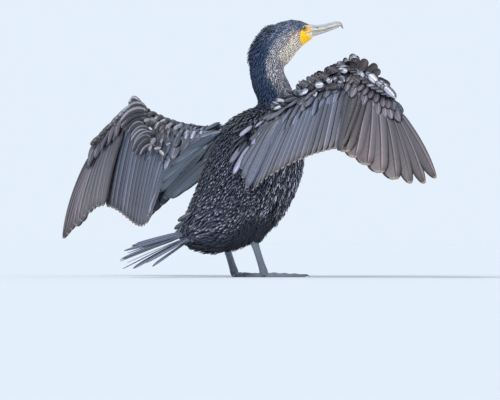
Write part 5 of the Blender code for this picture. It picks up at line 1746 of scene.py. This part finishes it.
class CORMORANT_OT_wings(bpy.types.Operator):
    """Set the flight feathers and coverts of both wings"""
    bl_idname = "cormorant.wings"
    bl_label = "Wings"

    def execute(self, context):
        colours, relief = context.scene.cormorant_colours, context.scene.cormorant_sizes.barb_relief
        flight = feather_material("flight_feather", 210.0, 0.10, 0.80, 0.55, 0.40, relief)
        covert = feather_material("covert_feather", 60.0, 0.45, 0.72, 0.30, 0.38, relief)
        for name, wing in made["wings"].items():
            batches = wing_batches(wing, made["fans"][wing.side], colours)
            nodes = ("wing_" + name + "_arm", "wing_" + name + "_hand")
            feather_piece("flight_feathers_" + name, batches["flight"], flight,
                          nodes)
            tone = LAVENDER if name == "right" else TEAL
            loose = [loose_batch(LOOSE_FEATHERS[wing.side], tone, 330 + wing.side)]
            if name == "right":
                # Painted sheen: the pale ruffle feathers are 1.25 times the silver colour, the dark
                # ones brown.
                ruffles = [loose_batch(RUFFLE_PALE_SHEEN, SILVER_SHEEN * 1.25, 360, -0.35, 0.55),
                           loose_batch(RUFFLE_DARK, RUFFLE_BROWN, 361, -0.30, 1.5)]
            else:
                # Painted light and shade: each long covert is laid twice, dark for its shaded
                # hollow and, 2.6 mm higher and 1 mm farther back, pale for its lit rim.
                behind = np.array(COMB_DARK) + (0, 2.6, -1, -1, 2.6, -1, 0)
                ruffles = [loose_batch(COMB_DARK, (0.034, 0.031, 0.040), 362, 0.25, 1.3, 0.17),
                           loose_batch(behind, (0.36, 0.33, 0.36), 363, 0.25, 1.0, 0.17),
                           loose_batch(COMB_PALE, (0.55, 0.48, 0.47), 364)]
                loose.append(loose_batch(GAP_COVER, (0.060, 0.066, 0.085), 365, toward=UP))
            feather_piece("coverts_" + name, batches["coverts"] + ruffles, covert)
            feather_piece("under_coverts_" + name, batches["under"], covert)
            loose = scapular_batches(wing.side, colours) + loose
            feather_piece("scapulars_" + name, loose, covert)
        return {"FINISHED"}


class CORMORANT_OT_tail(bpy.types.Operator):
    """Set the stiff tail feathers"""
    bl_idname = "cormorant.tail"
    bl_label = "Tail"

    def execute(self, context):
        relief = context.scene.cormorant_sizes.barb_relief
        slate = shade_of(context.scene.cormorant_colours.slate)
        material = feather_material("tail_feather", 210.0, 0.08, 0.70, 0.45, 0.42, relief)
        batches = []
        for n, fan in enumerate(tail_fans()):
            tone = np.ones((len(fan.roots), 1)) * slate
            batches.append(fan_batch(fan, TAIL_WIDTH, tip_steps(16, 1.35), (tone * 0.9, tone * 1.2),
                                     lift=0.0012, taper=0.70, wave=0.10, seed=140 + n))
        feather_piece("tail_feathers", batches, material, ("tail",))
        covert = feather_material("rump_feather", 60.0, 0.45, 0.72, 0.30, 0.38, relief)
        rump = loose_batch(RUMP_FEATHERS, (0.75, 0.92, 1.25), 350)
        feather_piece("rump_feathers", [rump], covert)
        return {"FINISHED"}


class CORMORANT_OT_head(bpy.types.Operator):
    """Model the bill with its hook and nostrils, and both eyes"""
    bl_idname = "cormorant.head"
    bl_label = "Bill and Eyes"

    def execute(self, context):
        horn = horn_material()
        upper, lower = bill_parts()
        plain_piece("upper_bill", [upper], horn, ("bill_upper",))
        plain_piece("lower_bill", [lower], horn, ("bill_lower",))
        # Painted shade: the nostril slits are near-black solids in the groove.
        plain_piece("nostrils", nostril_parts(), plain_material(*CLAW_HORN_AND_NOSTRIL_SHADE))
        iris = shade_of(context.scene.cormorant_colours.iris)
        wet = eye_material()
        for name, side in (("left", 1), ("right", -1)):
            ball = eye_part(side, EYES[name], iris)
            plain_piece("eyeball_" + name, [ball], wet, ("eye_" + name,))
        return {"FINISHED"}


class CORMORANT_OT_legs(bpy.types.Operator):
    """Model the scaled legs, the toes, their webs and claws"""
    bl_idname = "cormorant.legs"
    bl_label = "Legs and Feet"

    def execute(self, context):
        skin = shade_of(context.scene.cormorant_colours.leg)
        scales = leg_material("leg_scales", 620.0, 0.00035, 0.36)
        web = leg_material("web_skin", 1400.0, 0.00012, 0.42)
        horn = plain_material(*CLAW_HORN_AND_NOSTRIL_SHADE)
        for name, side in (("left", 1), ("right", -1)):
            toes, claws = toe_parts(side, skin)
            shank = [leg_parts(side, skin)]
            plain_piece("leg_" + name, shank, scales, ("shank_" + name,))
            plain_piece("toes_" + name, toes, scales, ("foot_" + name,))
            plain_piece("webs_" + name, web_parts(side, skin), web)
            plain_piece("claws_" + name, claws, horn)
        return {"FINISHED"}


class CORMORANT_OT_stage(bpy.types.Operator):
    """Lay the pale floor, set the soft light and place the camera"""
    bl_idname = "cormorant.stage"
    bl_label = "Stage"

    def execute(self, context):
        disc = bmesh.new()
        bmesh.ops.create_circle(disc, cap_ends=True, segments=96, radius=FLOOR_RADIUS)
        mesh = bpy.data.meshes.new("floor")
        disc.to_mesh(mesh)
        disc.free()
        floor = link(bpy.data.objects.new("floor", mesh))
        mesh.materials.append(plain_material(*PALE_FLOOR))
        world = bpy.data.worlds.new("studio")
        world.use_nodes = True
        world.node_tree.nodes["Background"].inputs[0].default_value = SKY
        context.scene.world = world
        for name, way, spread, power in LAMPS:
            lamp = bpy.data.lights.new(name, "SUN")
            lamp.energy = power
            lamp.angle = math.radians(spread)
            light = link(bpy.data.objects.new(name, lamp))
            light.location = MIDDLE - way * 2
            light.rotation_euler = Vector(way).to_track_quat("-Z", "Y").to_euler()
        camera_data = bpy.data.cameras.new("photo_view")
        camera_data.sensor_width = SENSOR
        camera_data.lens = SENSOR * VIEW_DISTANCE / VIEW_WIDTH
        camera_data.clip_end = VIEW_DISTANCE * 10
        camera = link(bpy.data.objects.new("photo_view", camera_data))
        camera.location = NEAR * VIEW_DISTANCE + UP * VIEW_HEIGHT
        camera.rotation_euler = Vector(-NEAR).to_track_quat("-Z", "Y").to_euler()
        context.scene.camera = camera
        context.scene.view_settings.view_transform = "Standard"
        return {"FINISHED"}


class CORMORANT_PT_panel(bpy.types.Panel):
    """Lists the pieces of the cormorant and what can be changed on them"""
    bl_idname = "CORMORANT_PT_panel"
    bl_label = "Cormorant"
    bl_space_type = "VIEW_3D"
    bl_region_type = "UI"
    bl_category = "Cormorant"

    def draw(self, context):
        for operator in OPERATORS:
            self.layout.operator(operator.bl_idname)
        for group in (context.scene.cormorant_sizes, context.scene.cormorant_colours):
            for name in group.__annotations__:
                self.layout.prop(group, name)


OPERATORS = (CORMORANT_OT_stage, CORMORANT_OT_skin, CORMORANT_OT_coat, CORMORANT_OT_wings,
             CORMORANT_OT_tail, CORMORANT_OT_head, CORMORANT_OT_legs)
CLASSES = (CormorantSizes, CormorantColours) + OPERATORS + (CORMORANT_PT_panel,)


def register():
    for item in CLASSES:
        bpy.utils.register_class(item)
    bpy.types.Scene.cormorant_sizes = PointerProperty(type=CormorantSizes)
    bpy.types.Scene.cormorant_colours = PointerProperty(type=CormorantColours)


def unregister():
    del bpy.types.Scene.cormorant_sizes
    del bpy.types.Scene.cormorant_colours
    for item in reversed(CLASSES):
        bpy.utils.unregister_class(item)


def main():
    register()
    bpy.ops.cormorant.stage()
    bpy.ops.cormorant.skin()
    bpy.ops.cormorant.coat()
    bpy.ops.cormorant.wings()
    bpy.ops.cormorant.tail()
    bpy.ops.cormorant.head()
    bpy.ops.cormorant.legs()


if __name__ == "__main__":
    main()
